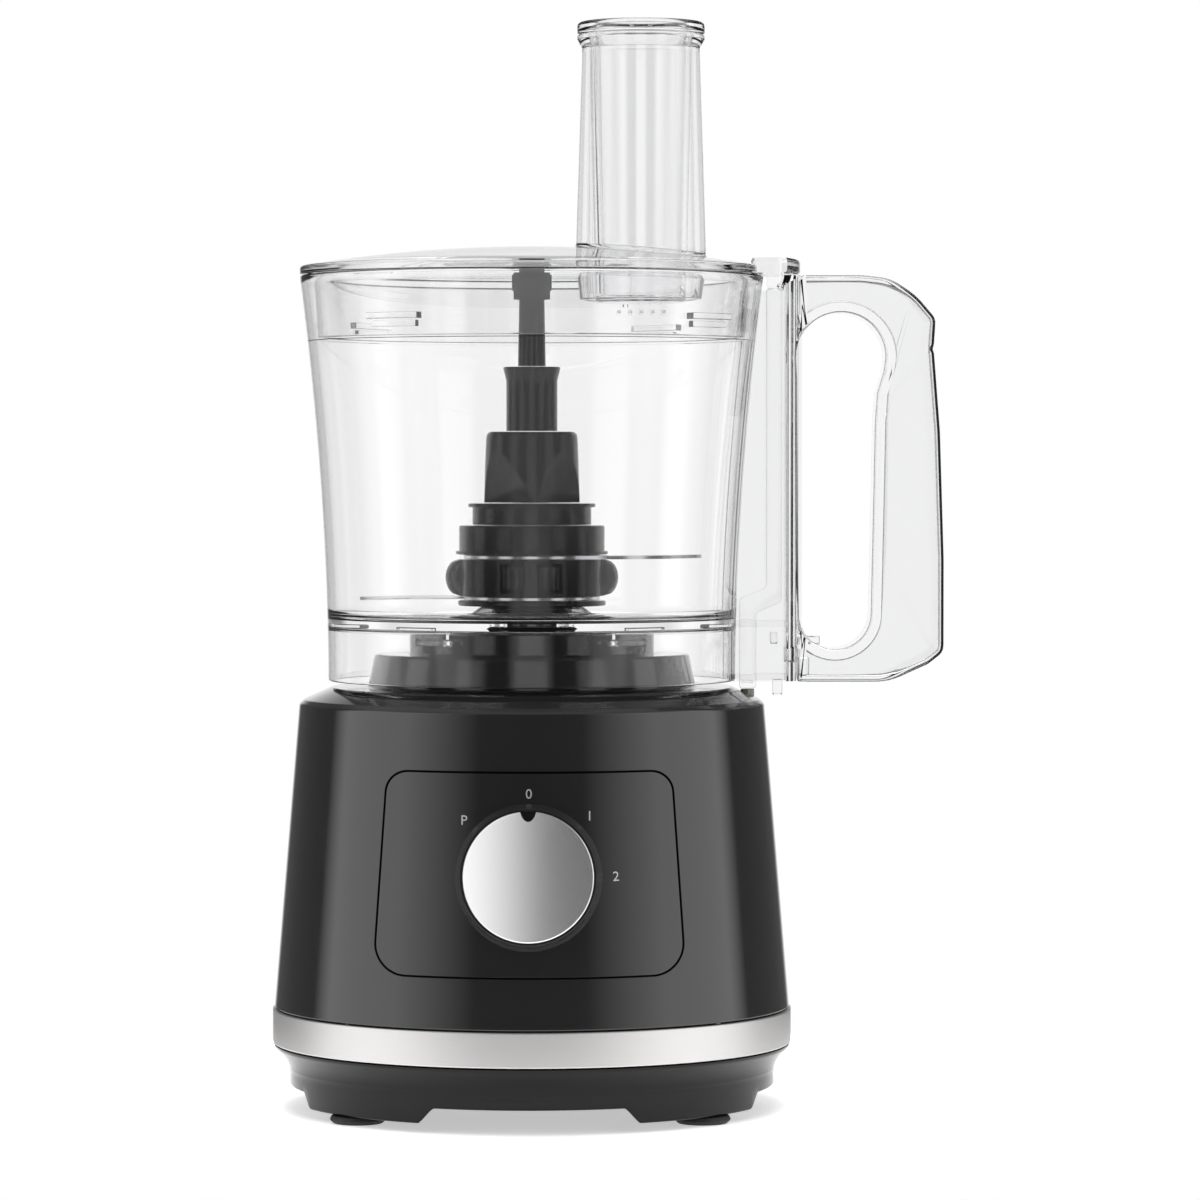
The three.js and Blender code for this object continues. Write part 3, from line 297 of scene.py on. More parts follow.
foot_rubber = speckle(finish_of("foot_rubber", (0.028, 0.028, 0.028), 0.7, Specular_IOR_Level=0.35),
                      0.8, 0.05, 0.6, 0.8)
foot_profile = rounded(
    [(0, 1.2), (4.4, 1.2), (5.4, 0), (8.6, 0), (10, 1.3), (9.4, 2.8), (3.2, 2.8), (3.2, 13), (0, 13)],
    [0, 0.4, 0.3, 0.5, 0.5, 0.8, 0, 0.4, 0])
corners = ("front_left", "front_right", "back_left", "back_right")
for side in corners:
    foot_x, foot_y = cad(f"foot_{side}").mean(0)[:2]
    dress(solid(f"rubber_foot_{side}", revolve(foot_profile, (foot_x, foot_y), 64)),
          foot_rubber, "base", "rubber", f"foot_{side}")


# Bottom cover: a shallow black tray, moulded in satin plastic. Its skirt is arched between the
# feet, flares out under the trim band, and holds four long screws that draw the base together.
skirt_foot = cad("bottom_cover")[0][2]
skirt_rise = 5.4
arch_reach = 38.5
flare_top = cad("trim_band")[0][2] - 0.35
band_out = cad("trim_band")[1][0]


def arch_lift(angle, radius):
    """How far the skirt's lower edge is raised at an angle: nothing over the feet, and the full
    rise between them, with a slope of 45 degrees at each end."""
    across = np.minimum(abs(radius * np.cos(angle)), abs(radius * np.sin(angle)))
    share = np.clip((arch_reach - across) / skirt_rise, 0, 1)
    return skirt_rise * share * share * (3 - 2 * share) * 0.35 + skirt_rise * share * 0.65


# Each row is [radius, height above the skirt's foot, share of the arch's lift].
skirt_rows = np.array([
    (87.2, 11.0, 0), (87.2, 9.4, 0.02), (87.2, 6.8, 0.3), (87.2, 1.0, 0.97), (87.1, 0.5, 1),
    (86.8, 0.15, 1), (86.4, 0, 1), (85, 0, 1), (84.6, 0.3, 1), (84.4, 1.0, 0.97), (84.2, 8.4, 0.1),
    (84.2, 10.6, 0), (88.6, flare_top - skirt_foot, 0), (band_out - 0.7, flare_top - skirt_foot, 0),
    (band_out - 0.3, flare_top - skirt_foot - 0.15, 0), (band_out - 0.3, flare_top - skirt_foot - 0.6, 0),
    *[(87.35 + (band_out - 87.8) * t ** 1.7, 11.2 + (flare_top - skirt_foot - 12.2) * t, 0)
      for t in np.linspace(1, 0, 14)]])
skirt_angle = np.arange(900) * 2 * math.pi / 900
lift = arch_lift(skirt_angle[:, None], skirt_rows[None, :, 0])
skirt = np.stack([
    np.cos(skirt_angle)[:, None] * skirt_rows[:, 0],
    np.sin(skirt_angle)[:, None] * skirt_rows[:, 0],
    skirt_foot + skirt_rows[:, 1] + lift * skirt_rows[:, 2]], -1)
tray_black = speckle(finish_of("tray_black", (0.005, 0.005, 0.0052), 0.14, Specular_IOR_Level=0.2),
                     6, 0.002, 0.11, 0.17)
dress(solid("bottom_tray", skin(skirt, True, True),
            revolve(rounded([(0, 9.1), (84.5, 9.1), (84.5, 11.6), (0, 11.6)], [0, 0.3, 0.3, 0])),
            *[revolve([(2.3, 9.4), (4.6, 9.4), (4.6, 45), (2.3, 45)],
                      tuple(cad(f"cover_screw_{side}").mean(0)[:2]), 32, True)
              for side in ("front_left", "front_right", "back_left", "back_right")]),
      tray_black, "base", "satin_black", "bottom_cover")


# Trim band: a ring of satin silver aluminium, rolled flat, closed on itself and trapped between
# the tray and the housing. Its edges are broken so that they catch a fine line of light.
silver_satin = speckle(finish_of("silver_satin", (0.57, 0.562, 0.558), 0.4, 1.0), 0.8, 0.0006, 0.38, 0.44,
                       (1, 1, 6))
band = cad("trim_band")
band_profile = rounded([(band_out - 2.6, band[0][2]), (band_out, band[0][2]),
                        (band_out, band[1][2]), (band_out - 2.6, band[1][2])], [0.2, 0.5, 0.5, 0.2], True)
dress(solid("silver_band", revolve(band_profile, turns=256, closed=True)),
      silver_satin, "base", "silver", "trim_band")


# Motor housing: one gloss black shell, injection moulded, that tapers up to a shoulder and
# carries the stepped platform on which the bowl locks, with four bayonet lugs on its upper step.
housing = cad("base_housing")
housing_foot = housing[0][2]
shoulder_height = housing_foot + 108.9
tier_top = housing[1][2]
platform_top = tier_top - 9.4
shoulder_top = platform_top - 12.3
housing_wide, housing_narrow = 92.6, 83.6


def housing_radius(z):
    """The housing's outer radius at a height: a straight taper from its foot to its shoulder."""
    return housing_wide - (housing_wide - housing_narrow) * (z - housing_foot) / 108.9


shell_corners = [
    (housing_wide, housing_foot), (housing_narrow, shoulder_height), (81.8, shoulder_height + 1.6),
    (72, shoulder_top), (59, shoulder_top), (56.5, platform_top), (44, platform_top), (44, tier_top),
    (12.2, tier_top), (12.2, tier_top - 3), (41, tier_top - 3), (41, platform_top - 3),
    (53.5, platform_top - 3), (56, shoulder_top - 3), (70, shoulder_top - 3),
    (80, shoulder_height - 2), (housing_wide - 3, housing_foot)]
shell_fillets = [0.6, 1.6, 2.0, 1.2, 1.0, 1.2, 0.8, 1.0, 0.6, 0.3, 1, 0.6, 1, 0.6, 1, 2, 0.3]
piano_black = speckle(finish_of("piano_black", (0.012, 0.012, 0.0125), 0.1, Coat_Weight=0.4,
                                Coat_Roughness=0.05), 12, 0.004, 0.08, 0.12)


def arc_bar(profile, from_degrees, to_degrees, steps=24):
    """A closed [radius, height] profile carried round part of a circle, with flat ends."""
    profile = np.asarray(profile, float)
    angle = np.radians(np.linspace(from_degrees, to_degrees, steps + 1))[:, None]
    return skin(np.stack([np.cos(angle) * profile[:, 0], np.sin(angle) * profile[:, 0],
                          np.broadcast_to(profile[:, 1], (steps + 1, len(profile)))], -1),
                wrap_columns=True, caps=True)


def bar_profile(inner, outer, low, high, fillet=0.3):
    """A rectangle between two radii and two heights, with small rounded corners."""
    return rounded([(inner, low), (outer, low), (outer, high), (inner, high)], [fillet] * 4, True, 3)


housing_lugs = [arc_bar(bar_profile(43, 46.6, tier_top - 3.2, tier_top - 1), at - 8, at + 8)
                for at in (45, 135, 225, 315)]
dress(solid("motor_housing", revolve(rounded(shell_corners, shell_fillets, True), turns=256, closed=True),
            *housing_lugs), piano_black, "base", "gloss_black", "base_housing")


# Control panel: a thin gloss black plate, curved to the housing and let into its front, with
# rounded corners and a fine seam all round. The marks beside the dial are printed in pale grey.
panel = cad("control_panel")
panel_middle = (panel[0][2] + panel[1][2]) / 2
panel_outline = rounded(
    [(-54.3, panel[0][2]), (54.3, panel[0][2]), (49.5, panel[1][2]), (-49.5, panel[1][2])],
    [10.5, 10.5, 8, 8], True, 12)


def evenly(points, count, closed=True):
    """The same line with its points moved to equal steps along it."""
    line = np.vstack([points, points[:1]]) if closed else points
    along = np.concatenate([[0], np.cumsum(np.linalg.norm(np.diff(line, axis=0), axis=1))])
    spots = np.linspace(0, along[-1], count + 1)[:-1] if closed else np.linspace(0, along[-1], count)
    return np.stack([np.interp(spots, along, line[:, k]) for k in range(line.shape[1])], -1)


def on_housing(x, z, lift):
    """Points in front view laid on the housing's tapered front, a lift above its surface."""
    radius = housing_radius(z) + lift
    return np.stack([x, -np.sqrt(radius * radius - x * x), z], -1)


# Rings from the middle out to the edge and back behind: [share of the outline, lift].
panel_rings = np.array([(s, 0.34) for s in np.linspace(0, 0.97, 16)]
                       + [(0.985, 0.34), (0.992, 0.3), (0.997, 0.16), (1, -0.1), (1, -0.7), (0.97, -0.9),
                          (0.6, -0.9), (0, -0.9)])
outline = evenly(panel_outline, 320)
ring_x = panel_rings[:, :1] * outline[None, :, 0]
ring_z = panel_middle + panel_rings[:, :1] * (outline[None, :, 1] - panel_middle)
dress(solid("curved_panel", skin(on_housing(ring_x, ring_z, panel_rings[:, 1:]), wrap_columns=True)),
      piano_black, "base", "gloss_black", "control_panel")

# Painted shade: a matt black strip along the seam between the panel and the housing stands in for the shade
# in the seam.
painted_seam_shade = speckle(finish_of("painted_seam_shade", (0.0015, 0.0015, 0.0015), 0.9, Specular_IOR_Level=0.0),
                     0.5, 0.01, 0.85, 0.95)
seam_shade_way = np.roll(outline, -1, 0) - np.roll(outline, 1, 0)
seam_shade_way = np.stack([seam_shade_way[:, 1], -seam_shade_way[:, 0]], -1) / np.linalg.norm(seam_shade_way, axis=1)[:, None]
seam_shade_section = np.array([(-0.5, -0.4), (-0.5, 0.3), (-0.1, 0.42), (0.3, 0.3), (0.3, -0.4)])
seam_shade_line = outline[None] + seam_shade_section[:, None, :1] * seam_shade_way[None]
seam_shade_skin = skin(on_housing(seam_shade_line[..., 0], seam_shade_line[..., 1], seam_shade_section[:, 1:]), True, True)
# The strip's black is painted shade, not a rubber part.
dress(solid("painted_seam_strip", seam_shade_skin), painted_seam_shade, "base", "rubber")

dial_joint = next(j for j in frame["joints"] if j["name"] == "dial_turn")
dial_height = dial_joint["pos_m"][2] * 1000
dial_depth = dial_joint["pos_m"][1] * 1000 - axis_y * 1000
print_grey = speckle(finish_of("print_grey", (0.5, 0.5, 0.5), 0.4), 0.2, 0.002, 0.35, 0.45)
for word, turn in (("0", 0), ("1", 45), ("2", 90), ("P", -49)):
    letter = bpy.data.curves.new("letter", "FONT")
    letter.body = word
    letter.size = 4.7
    letter.align_x = "CENTER"
    letter.align_y = "CENTER"
    letter.extrude = 0.06
    letter.resolution_u = 6
    stencil = bpy.data.objects.new("letter", letter)
    flat = bpy.data.meshes.new_from_object(stencil)
    spots = np.empty(len(flat.vertices) * 3)
    flat.vertices.foreach_get("co", spots)
    spots = spots.reshape(-1, 3)
    far = 28.6 + 1.4 * abs(math.sin(math.radians(turn)))
    mark_x = far * math.sin(math.radians(turn)) + spots[:, 0]
    mark_z = dial_height + far * math.cos(math.radians(turn)) + spots[:, 1]
    bent = on_housing(mark_x, mark_z, 0.4 + spots[:, 2])
    faces = [list(f.vertices) for f in flat.polygons]
    mark = solid(f"dial_mark_{word}", (bent, faces))
    bpy.data.objects.remove(stencil)
    dress(mark, print_grey, "base", "silver")


# Dial: a black moulded knob with a satin silver disc pressed into its front. A small dark notch
# in the disc's edge is the pointer. The knob is pressed on a steel shaft that turns the switch.
tilt = math.atan2(dial_joint["axis"][2], -dial_joint["axis"][1])
dial_long = 17.4


def faced(vertices):
    """Points made about an upright axis, turned so that the axis looks out of the panel."""
    x, y, z = vertices[:, 0], vertices[:, 1], vertices[:, 2]
    return np.stack([x, dial_depth - z * math.cos(tilt) + y * math.sin(tilt),
                     dial_height + z * math.sin(tilt) + y * math.cos(tilt)], -1)


knob_profile = rounded(
    [(0, 1.2), (22.4, 1.2), (25.6, 2.0), (24.2, 6), (23.5, dial_long - 0.9), (22.7, dial_long - 0.9),
     (22.7, dial_long - 2.8), (0, dial_long - 2.8)],
    [0, 0.5, 0.7, 2, 0.25, 0.1, 0.1, 0])
knob_vertices, knob_faces = revolve(knob_profile, turns=180)
knob_black = speckle(finish_of("knob_black", (0.013, 0.013, 0.013), 0.22), 1.0, 0.001, 0.2, 0.26)
dress(solid("dial_knob", (faced(knob_vertices), knob_faces)),
      knob_black, "dial", "satin_black", "dial_body")

disc_rows = rounded([(0, dial_long - 2.6), (22.5, dial_long - 2.6), (22.5, dial_long), (0, dial_long)],
                    [0, 0.1, 0.55, 0])
disc_rows = np.vstack([disc_rows[:-1], [(r, dial_long) for r in np.linspace(20.5, 0, 12)]])
disc_angle = np.arange(360) * 2 * math.pi / 360
notch = np.clip(1 - (np.sin(disc_angle[:, None] - math.pi / 2) * 22.5 / 2.7) ** 2, 0, 1) ** 0.5
notch = np.where(np.cos(disc_angle[:, None] - math.pi / 2) > 0, notch, 0)
disc_radius = np.minimum(disc_rows[:, 0], 22.5 - 3.6 * notch)
disc = np.stack([np.cos(disc_angle)[:, None] * disc_radius, np.sin(disc_angle)[:, None] * disc_radius,
                 np.broadcast_to(disc_rows[:, 1], disc_radius.shape)], -1)
disc_vertices, disc_faces = skin(disc, wrap_rows=True)
disc_silver = speckle(finish_of("disc_silver", (0.79, 0.79, 0.79), 0.34, 1.0), 0.8, 0.0002, 0.32, 0.37)

# The disc is spun a little hollow to one side: its left edge leans away to the left, and the lean
# fades to nothing at the right edge. The height is the lean added up from the left.
disc_tree = disc_silver.node_tree
disc_place = wire_up(disc_tree, "ShaderNodeTexCoord").outputs["Object"]
disc_x = wire_up(disc_tree, "ShaderNodeSeparateXYZ", {"Vector": disc_place}).outputs["X"]
disc_share = wire_up(disc_tree, "ShaderNodeMapRange",
                     {"Value": disc_x, "From Min": axis_x - 0.0225, "From Max": axis_x + 0.0225,
                      "To Min": 1.0, "To Max": 0.0}).outputs["Result"]
disc_square = wire_up(disc_tree, "ShaderNodeMath", {0: disc_share, 1: disc_share}, operation="MULTIPLY")
disc_height = wire_up(disc_tree, "ShaderNodeMath",
                      {0: disc_square.outputs[0], 1: -0.0225 * math.tan(math.radians(29))},
                      operation="MULTIPLY")
disc_lean = wire_up(disc_tree, "ShaderNodeBump",
                    {"Height": disc_height.outputs[0], "Distance": 1.0, "Strength": 1.0})
fine_bump = next(n for n in disc_tree.nodes if n.bl_idname == "ShaderNodeBump" and n != disc_lean)
disc_tree.links.new(disc_lean.outputs["Normal"], fine_bump.inputs["Normal"])
dress(solid("dial_disc", (faced(disc_vertices), disc_faces)), disc_silver, "dial", "silver", "dial_face")


# Works inside the base. The motor stands on a steel plate behind the spindle and drives it by a
# belt; a rotary switch sits behind the dial, and a small spring switch answers to the interlock.
zinc = speckle(finish_of("zinc_plate", (0.42, 0.43, 0.45), 0.4, 1.0), 1.2, 0.002, 0.32, 0.48)
bright_steel = speckle(finish_of("bright_steel", (0.6, 0.61, 0.63), 0.22, 1.0), 0.8, 0.0008, 0.16, 0.28)
winding = speckle(finish_of("winding_copper", (0.45, 0.2, 0.09), 0.35, 1.0),
                  0.7, 0.1, 0.28, 0.42, (1, 1, 3))
sinter = speckle(finish_of("sintered_bronze", (0.42, 0.28, 0.13), 0.45, 1.0), 0.3, 0.02, 0.4, 0.55)
nylon = speckle(finish_of("natural_nylon", (0.68, 0.66, 0.6), 0.45), 0.6, 0.01, 0.4, 0.52)
pressed_carbon = speckle(finish_of("pressed_carbon", (0.03, 0.03, 0.032), 0.6), 0.2, 0.02, 0.55, 0.7)
green_board = speckle(finish_of("green_board", (0.03, 0.16, 0.06), 0.4), 1.5, 0.01, 0.34, 0.48)
belt_rubber = speckle(finish_of("belt_rubber", (0.016, 0.016, 0.016), 0.8), 0.6, 0.04, 0.7, 0.88)
satin_moulding = speckle(finish_of("satin_moulding", (0.007, 0.007, 0.0075), 0.14), 2.0, 0.0012, 0.12, 0.17)
inside = {
    zinc: ["spindle_tube", "chassis_plate", "motor_stator", "motor_bracket"],
    bright_steel: [*(f"cover_screw_{corner}" for corner in corners), "motor_bearing_lower",
                   "motor_bearing_upper", "interlock_spring", "dial_shaft", "motor_shaft",
                   "motor_pulley", "spindle_shaft"],
    winding: ["field_coil_lower", "field_coil_upper", "armature"],
    sinter: ["lower_bushing", "upper_bushing", "commutator"],
    nylon: ["brush_holder_left", "brush_holder_right", "rotary_switch", "cooling_fan", "spindle_pulley",
            "interlock_button"],
    pressed_carbon: ["carbon_brush_left", "carbon_brush_right"],
    green_board: ["speed_board"],
    belt_rubber: ["drive_belt"],
    satin_moulding: ["interlock_switch", "drive_coupling"],
}
for material, names in inside.items():
    for name in names:
        node = frame["nodes"][name]
        node.data.materials.clear()
        node.data.materials.append(material)


# Cord gland: a short black bushing in the back of the housing. It is empty, because no cord
# belongs to the part.
gland = cad("cord_gland")
gland_height = (gland[0][2] + gland[1][2]) / 2
gland_profile = rounded([(3.6, -5), (5.8, -5), (5.8, 0.9), (7, 0.9), (7, 1.8), (3.6, 1.8)],
                        [0.2, 0.2, 0.1, 0.1, 0.4, 0.5], True)
gland_vertices, gland_faces = revolve(gland_profile, turns=64, closed=True)
gland_vertices = np.stack([gland_vertices[:, 0], housing_radius(gland_height) + gland_vertices[:, 2],
                           gland_height + gland_vertices[:, 1]], -1)
dress(solid("gland_bush", (gland_vertices, gland_faces)),
      satin_moulding, "base", "satin_black", "cord_gland")


# Bowl: moulded in clear plastic with a wall that flares towards the rim. Inside it has a ledge
# for the lid's skirt and a hollow chimney for the spindle; four hooks under its floor grip the
# platform, and four shelves inside the wall hold the lid. A hollow column joins it to the handle.
bowl = cad("bowl")
bowl_foot = bowl[0][2] + 0.2
rim = bowl[1][2]
floor_under = tier_top + 0.3
floor_top = floor_under + 2.6
ledge = rim - 23.1
wall = 2.4


def bowl_radius(z):
    """The bowl's outer radius at a height: the skirt's radius, and more by a power of the rise."""
    rise = np.clip((z - bowl_foot) / (rim - bowl_foot), 0, 1)
    return 73.2 + (83.3 - 73.2) * rise ** 1.85


def up_wall(inset, low, high, count):
    """Points up the bowl's wall, moved in by an inset."""
    z = np.linspace(low, high, count)
    return np.stack([bowl_radius(z) - inset, z], -1)


def clear_plastic(name, tint):
    """Polished clear plastic: it bends light, is faintly tinted, and its gloss wavers a little."""
    return speckle(finish_of(name, tint, 0.015, Transmission_Weight=1.0, IOR=1.5), 30, 0.0015, 0.005, 0.02)


bowl_clear = clear_plastic("bowl_clear", (0.985, 0.985, 0.987))
outside = up_wall(0, bowl_foot + 0.8, rim - 0.9, 60)
over_rim = rounded([(bowl_radius(rim - 1), rim - 0.9), (83.3, rim), (83.3 - wall, rim),
                    (bowl_radius(rim - 1) - wall, rim - 0.9)], [0, 0.7, 0.7, 0])[1:-1]
inside_top = up_wall(wall, ledge + 0.1, rim - 1.2, 12)[::-1]
inside_low = up_wall(wall + 0.55, floor_top + 4, ledge - 0.1, 46)[::-1]
floor_corner = bowl_radius(floor_top) - wall - 0.55
well = rounded([inside_low[-1], (floor_corner, floor_top), (24.5, floor_top), (18.6, floor_top + 4.0),
                (17.0, floor_top + 4.0), (22.4, floor_top), (12.6, floor_top), (12.3, floor_top + 16),
                (10.4, floor_top + 16), (10.4, floor_under), (70.8, floor_under), (70.8, bowl_foot),
                (73.2, bowl_foot), (outside[0][0], outside[0][1])],
               [0, 3.5, 1, 0.6, 0.6, 0.3, 0.8, 0.6, 0.6, 1, 1.5, 0.5, 0.6, 0])[1:-1]
vessel = np.vstack([outside, over_rim, inside_top, inside_low, well])
shelves = [arc_bar(bar_profile(76, 80.2, rim - 16.6, rim - 14.4), at - 8, at + 8)
           for at in (53, 143, 233, 323)]
hooks = [arc_bar(rounded([(44.6, tier_top - 5.8), (50.8, tier_top - 5.8), (50.8, floor_under + 0.8),
                          (47.5, floor_under + 0.8), (47.5, tier_top - 3.8), (44.6, tier_top - 3.8)],
                         [0.4] * 6, True, 3), at - 8, at + 8) for at in (45, 135, 225, 315)]
dress(solid("clear_bowl", revolve(vessel, turns=256, closed=True), *shelves, *hooks, sharp=50),
      bowl_clear, "bowl", "clear", "bowl")

# The column is a channel whose open side is closed by the bowl's own wall. Its side walls are
# cut down a little at the top, where the lid's cam swings through.
column_out = 94.6
column_half = cad("bowl_handle")[1][1]
channel = rounded([(70, column_half), (column_out, column_half), (column_out, -column_half),
                   (70, -column_half), (70, 2.6 - column_half), (column_out - 2.8, 2.6 - column_half),
                   (column_out - 2.8, column_half - 2.6), (70, column_half - 2.6)],
                  [0, 3.2, 3.2, 0, 0, 1, 1, 0], True, 6)
channel = evenly(channel, 300)
column_tall = rim - bowl_foot
levels = np.concatenate([[0, 0.4], np.linspace(1, column_tall - 8, 60), [column_tall - 1, column_tall]])
column_z = bowl_foot + levels[:, None] * np.ones(len(channel))
far_out = np.hypot(channel[:, 0], channel[:, 1])
in_notch = (far_out < 90.8) | (channel[:, 0] < 86)
column_z = np.where(in_notch & (column_z > rim - 5.4), rim - 5.4, column_z)
column_y = channel[:, 1] * np.ones_like(column_z)
against_wall = np.sqrt(bowl_radius(column_z) ** 2 - column_y ** 2) - 0.02
column_x = np.maximum(channel[:, 0] * np.ones_like(column_z), against_wall)
column_skin = skin(np.stack([column_x, column_y, column_z], -1), wrap_columns=True, caps=True)
web_out = 91.6
web = rounded([(74, 10), (web_out, 10), (web_out, -10), (74, -10)], [0, 0.6, 0.6, 0], True, 4)
web_floors = []
for low, high in ((floor_under - 0.4, floor_under + 1.6), (bowl_foot + 0.4, bowl_foot + 2.2)):
    web_z = np.array([low, high])[:, None] * np.ones(len(web))
    web_floors.append(skin(np.stack([web[:, 0] * np.ones_like(web_z), web[:, 1] * np.ones_like(web_z),
                                     web_z], -1), wrap_columns=True, caps=True))

# Small feet and clips stand out under the column and beside it, where the handle is welded on.
clips = []
for low_x, high_x, low_z, high_z, half in (
        (86.5, 90.0, 148.5, 154.2, 3.0), (90.6, 94.2, 160.4, 165.8, 4.2), (96.4, 99.6, 155.6, 162.0, 3.4),
        (99.0, 103.4, 166.5, 169.6, 4.0), (85.6, 88.2, 166.8, 171.0, 4.4)):
    block = rounded([(low_x, -half), (high_x, -half), (high_x, half), (low_x, half)], [0.5] * 4, True, 3)
    block_z = np.array([low_z, low_z + 0.4, high_z - 0.4, high_z])[:, None] * np.ones(len(block))
    slim = np.array([0.9, 1, 1, 0.9])[:, None]
    block_x = block[:, 0].mean() + (block[:, 0] - block[:, 0].mean()) * slim
    clips.append(skin(np.stack([block_x, block[:, 1] * slim, block_z], -1), wrap_columns=True, caps=True))
handle_clear = clear_plastic("handle_clear", (0.945, 0.946, 0.95))
dress(solid("bowl_column", column_skin, *web_floors, *clips, sharp=30), handle_clear, "bowl", "clear")


# Handle: a clear, hollow loop, moulded as a deep tray with a flat cover pressed in from behind.
# It is welded to the bowl's column, and its finger hole is long, upright and rounded at the ends.
# A fine groove runs round the grip near its top, where the cover begins.
handle = cad("bowl_handle")
grip_out = handle[1][0]
handle_top = handle[1][2]
handle_foot = handle[0][2]
outer_corners = [
    (95.0, handle_foot), (128, handle_foot), (grip_out - 5.6, handle_foot + 6.2),
    (grip_out, handle_foot + 10.6), (grip_out, handle_foot + 44), (grip_out - 1.4, handle_top - 56),
    (grip_out - 3.7, handle_top - 26), (grip_out - 3.0, handle_top - 15.4),
    (grip_out - 10, handle_top - 7.2), (grip_out - 19, handle_top - 1.2), (118, handle_top),
    (95.0, handle_top)]
outer_fillets = np.array([0.6, 24, 8, 4.4, 60, 60, 6, 4.4, 22, 18, 20, 0.6])
hole_top = (110.6, 269.5, 16.1)
hole_low = (108.6, 177.9, 12.9)
hole_line = np.vstack([
    [(hole_low[0] + hole_low[2] * math.cos(t), hole_low[1] + hole_low[2] * math.sin(t))
     for t in np.linspace(math.pi, 2 * math.pi, 40)],
    [(122.3, 215.0), (122.9, 246.0), (123.7, 257.0), (126.0, 264.5)],
    [(hole_top[0] + hole_top[2] * math.cos(t), hole_top[1] + hole_top[2] * math.sin(t))
     for t in np.linspace(0, math.pi, 40)],
    [(94.9, 262.0), (95.3, 200.0)]])
loop_turns = 400


def by_angle(line, count, middle):
    """The closed line's points at equal angles seen from a middle height, so that two lines match."""
    loop = np.vstack([line, line[:1]])
    fine = evenly(loop, 4000, closed=False)
    squeeze = np.array([1.0, 0.42])
    angle = np.unwrap(np.arctan2(*((fine - middle) * squeeze).T[::-1]))
    if angle[-1] < angle[0]:
        fine, angle = fine[::-1], angle[::-1]
    spots = angle[0] + (np.arange(count) / count * 2 * math.pi - angle[0]) % (2 * math.pi)
    return np.stack([np.interp(spots, angle, fine[:, k]) for k in range(2)], -1)


loop_middle = np.array([109.5, 224.0])
outer_ring = by_angle(rounded(outer_corners, outer_fillets, True, 8), loop_turns, loop_middle)
hole_ring = by_angle(hole_line, loop_turns, loop_middle)


def facing(line):
    """Unit vectors in the plane of a closed line, square to it and pointing away from its middle."""
    along = np.roll(line, -1, 0) - np.roll(line, 1, 0)
    along /= np.linalg.norm(along, axis=1)[:, None] + 1e-9
    return np.stack([along[:, 1], -along[:, 0]], -1)


def edge_round(soft, half, steps=7):
    """Inset and depth of a quarter round from the flat front face to the side."""
    t = np.linspace(0, math.pi / 2, steps)
    return [(soft * (1 - math.sin(a)), half - soft * (1 - math.cos(a))) for a in t]


def loop_body(outer, hole, half, outer_soft, hole_soft):
    """A flat loop between two closed lines, with rounded edges: across the front, round the outer
    edge, along the side, across the back, and out through the hole."""
    outer_way, hole_way = facing(outer), -facing(hole)
    turns = [(outer, outer_way, outer_soft, -1, 1), (outer, outer_way, outer_soft, 1, -1),
             (hole, hole_way, hole_soft, 1, 1), (hole, hole_way, hole_soft, -1, -1)]
    rows = []
    for line, way, soft, side, order in turns:
        for inset, depth in edge_round(soft, half)[::order]:
            edge = line - way * np.reshape(inset, (-1, 1))
            rows.append(np.stack([edge[:, 0], side * depth * np.ones(len(edge)), edge[:, 1]], -1))
    return skin(np.array(rows), wrap_rows=True, wrap_columns=True)


# The grip's edges are rounder than the bars', and the groove is cut all round the grip.
grip_share = np.clip((outer_ring[:, 0] - 124) / 14, 0, 1)
grip_share = grip_share * grip_share * (3 - 2 * grip_share)
edge_soft = 1.6 + 2.6 * grip_share
groove = 0.4 * np.exp(-((outer_ring[:, 1] - 272) / 0.8) ** 4) * (outer_ring[:, 0] > 124)

# The hollow is a C: it follows the loop from the bottom bar through the grip to the top bar. Its
# wall is thicker round the finger hole than outside.
outer_wall, hole_wall = 2.0, 3.6
inner_side = outer_ring - facing(outer_ring) * outer_wall
hole_side = hole_ring + facing(hole_ring) * hole_wall
from_left = np.roll(np.arange(loop_turns), loop_turns // 2)
cut = [i for i in from_left if min(inner_side[i][0], hole_side[i][0]) > 98.0]
corner = rounded([(0, -1), (1, -1), (1, 1), (0, 1)], [0.08, 0.08, 0.08, 0.08], True, 4)
cross = hole_side[cut][:, None] + (inner_side - hole_side)[cut][:, None] * corner[None, :, :1]
hollow_depth = np.broadcast_to(corner[:, 1] * (column_half - 2.0), cross.shape[:2])
hollow = skin(np.stack([cross[..., 0], hollow_depth, cross[..., 1]], -1), wrap_columns=True, caps=True)
dress(solid("clear_handle", loop_body(outer_ring - facing(outer_ring) * groove[:, None], hole_ring,
                                      column_half - groove, edge_soft, 1.0),
            hollows=[hollow], sharp=60),
      handle_clear, "bowl", "clear", "bowl_handle", "handle_cover")


# Interlock: a clear push rod slides inside the handle's column. The lid's cam holds it down, and
# its foot presses a white button in the housing's shoulder, which closes the switch below.
rod_box = cad("interlock_rod")
rod_line = [(84.2, rod_box[1][2]), (84.2, 187), (74.6, 183), (74.6, rod_box[0][2]), (80.6, rod_box[0][2]),
            (80.6, 178), (89.8, 182), (89.8, rod_box[1][2])]
rod_outline = evenly(rounded(rod_line, [0.5, 1, 1, 0.4, 0.4, 1, 1, 0.5], True, 4), 200)


def slab(line, half, soft):
    """An outline in front view, given a thickness and a small round at each edge."""
    way = facing(line)
    rows = [(line - way * inset, -depth) for inset, depth in edge_round(soft, half, 4)]
    rows += [(line - way * inset, depth) for inset, depth in edge_round(soft, half, 4)[::-1]]
    grid = np.array([np.stack([r[:, 0], np.full(len(r), y), r[:, 1]], -1) for r, y in rows])
    return skin(grid, wrap_columns=True, caps=True)


dress(solid("push_rod", slab(rod_outline, 3, 0.3)), bowl_clear, "rod", "clear", "interlock_rod")


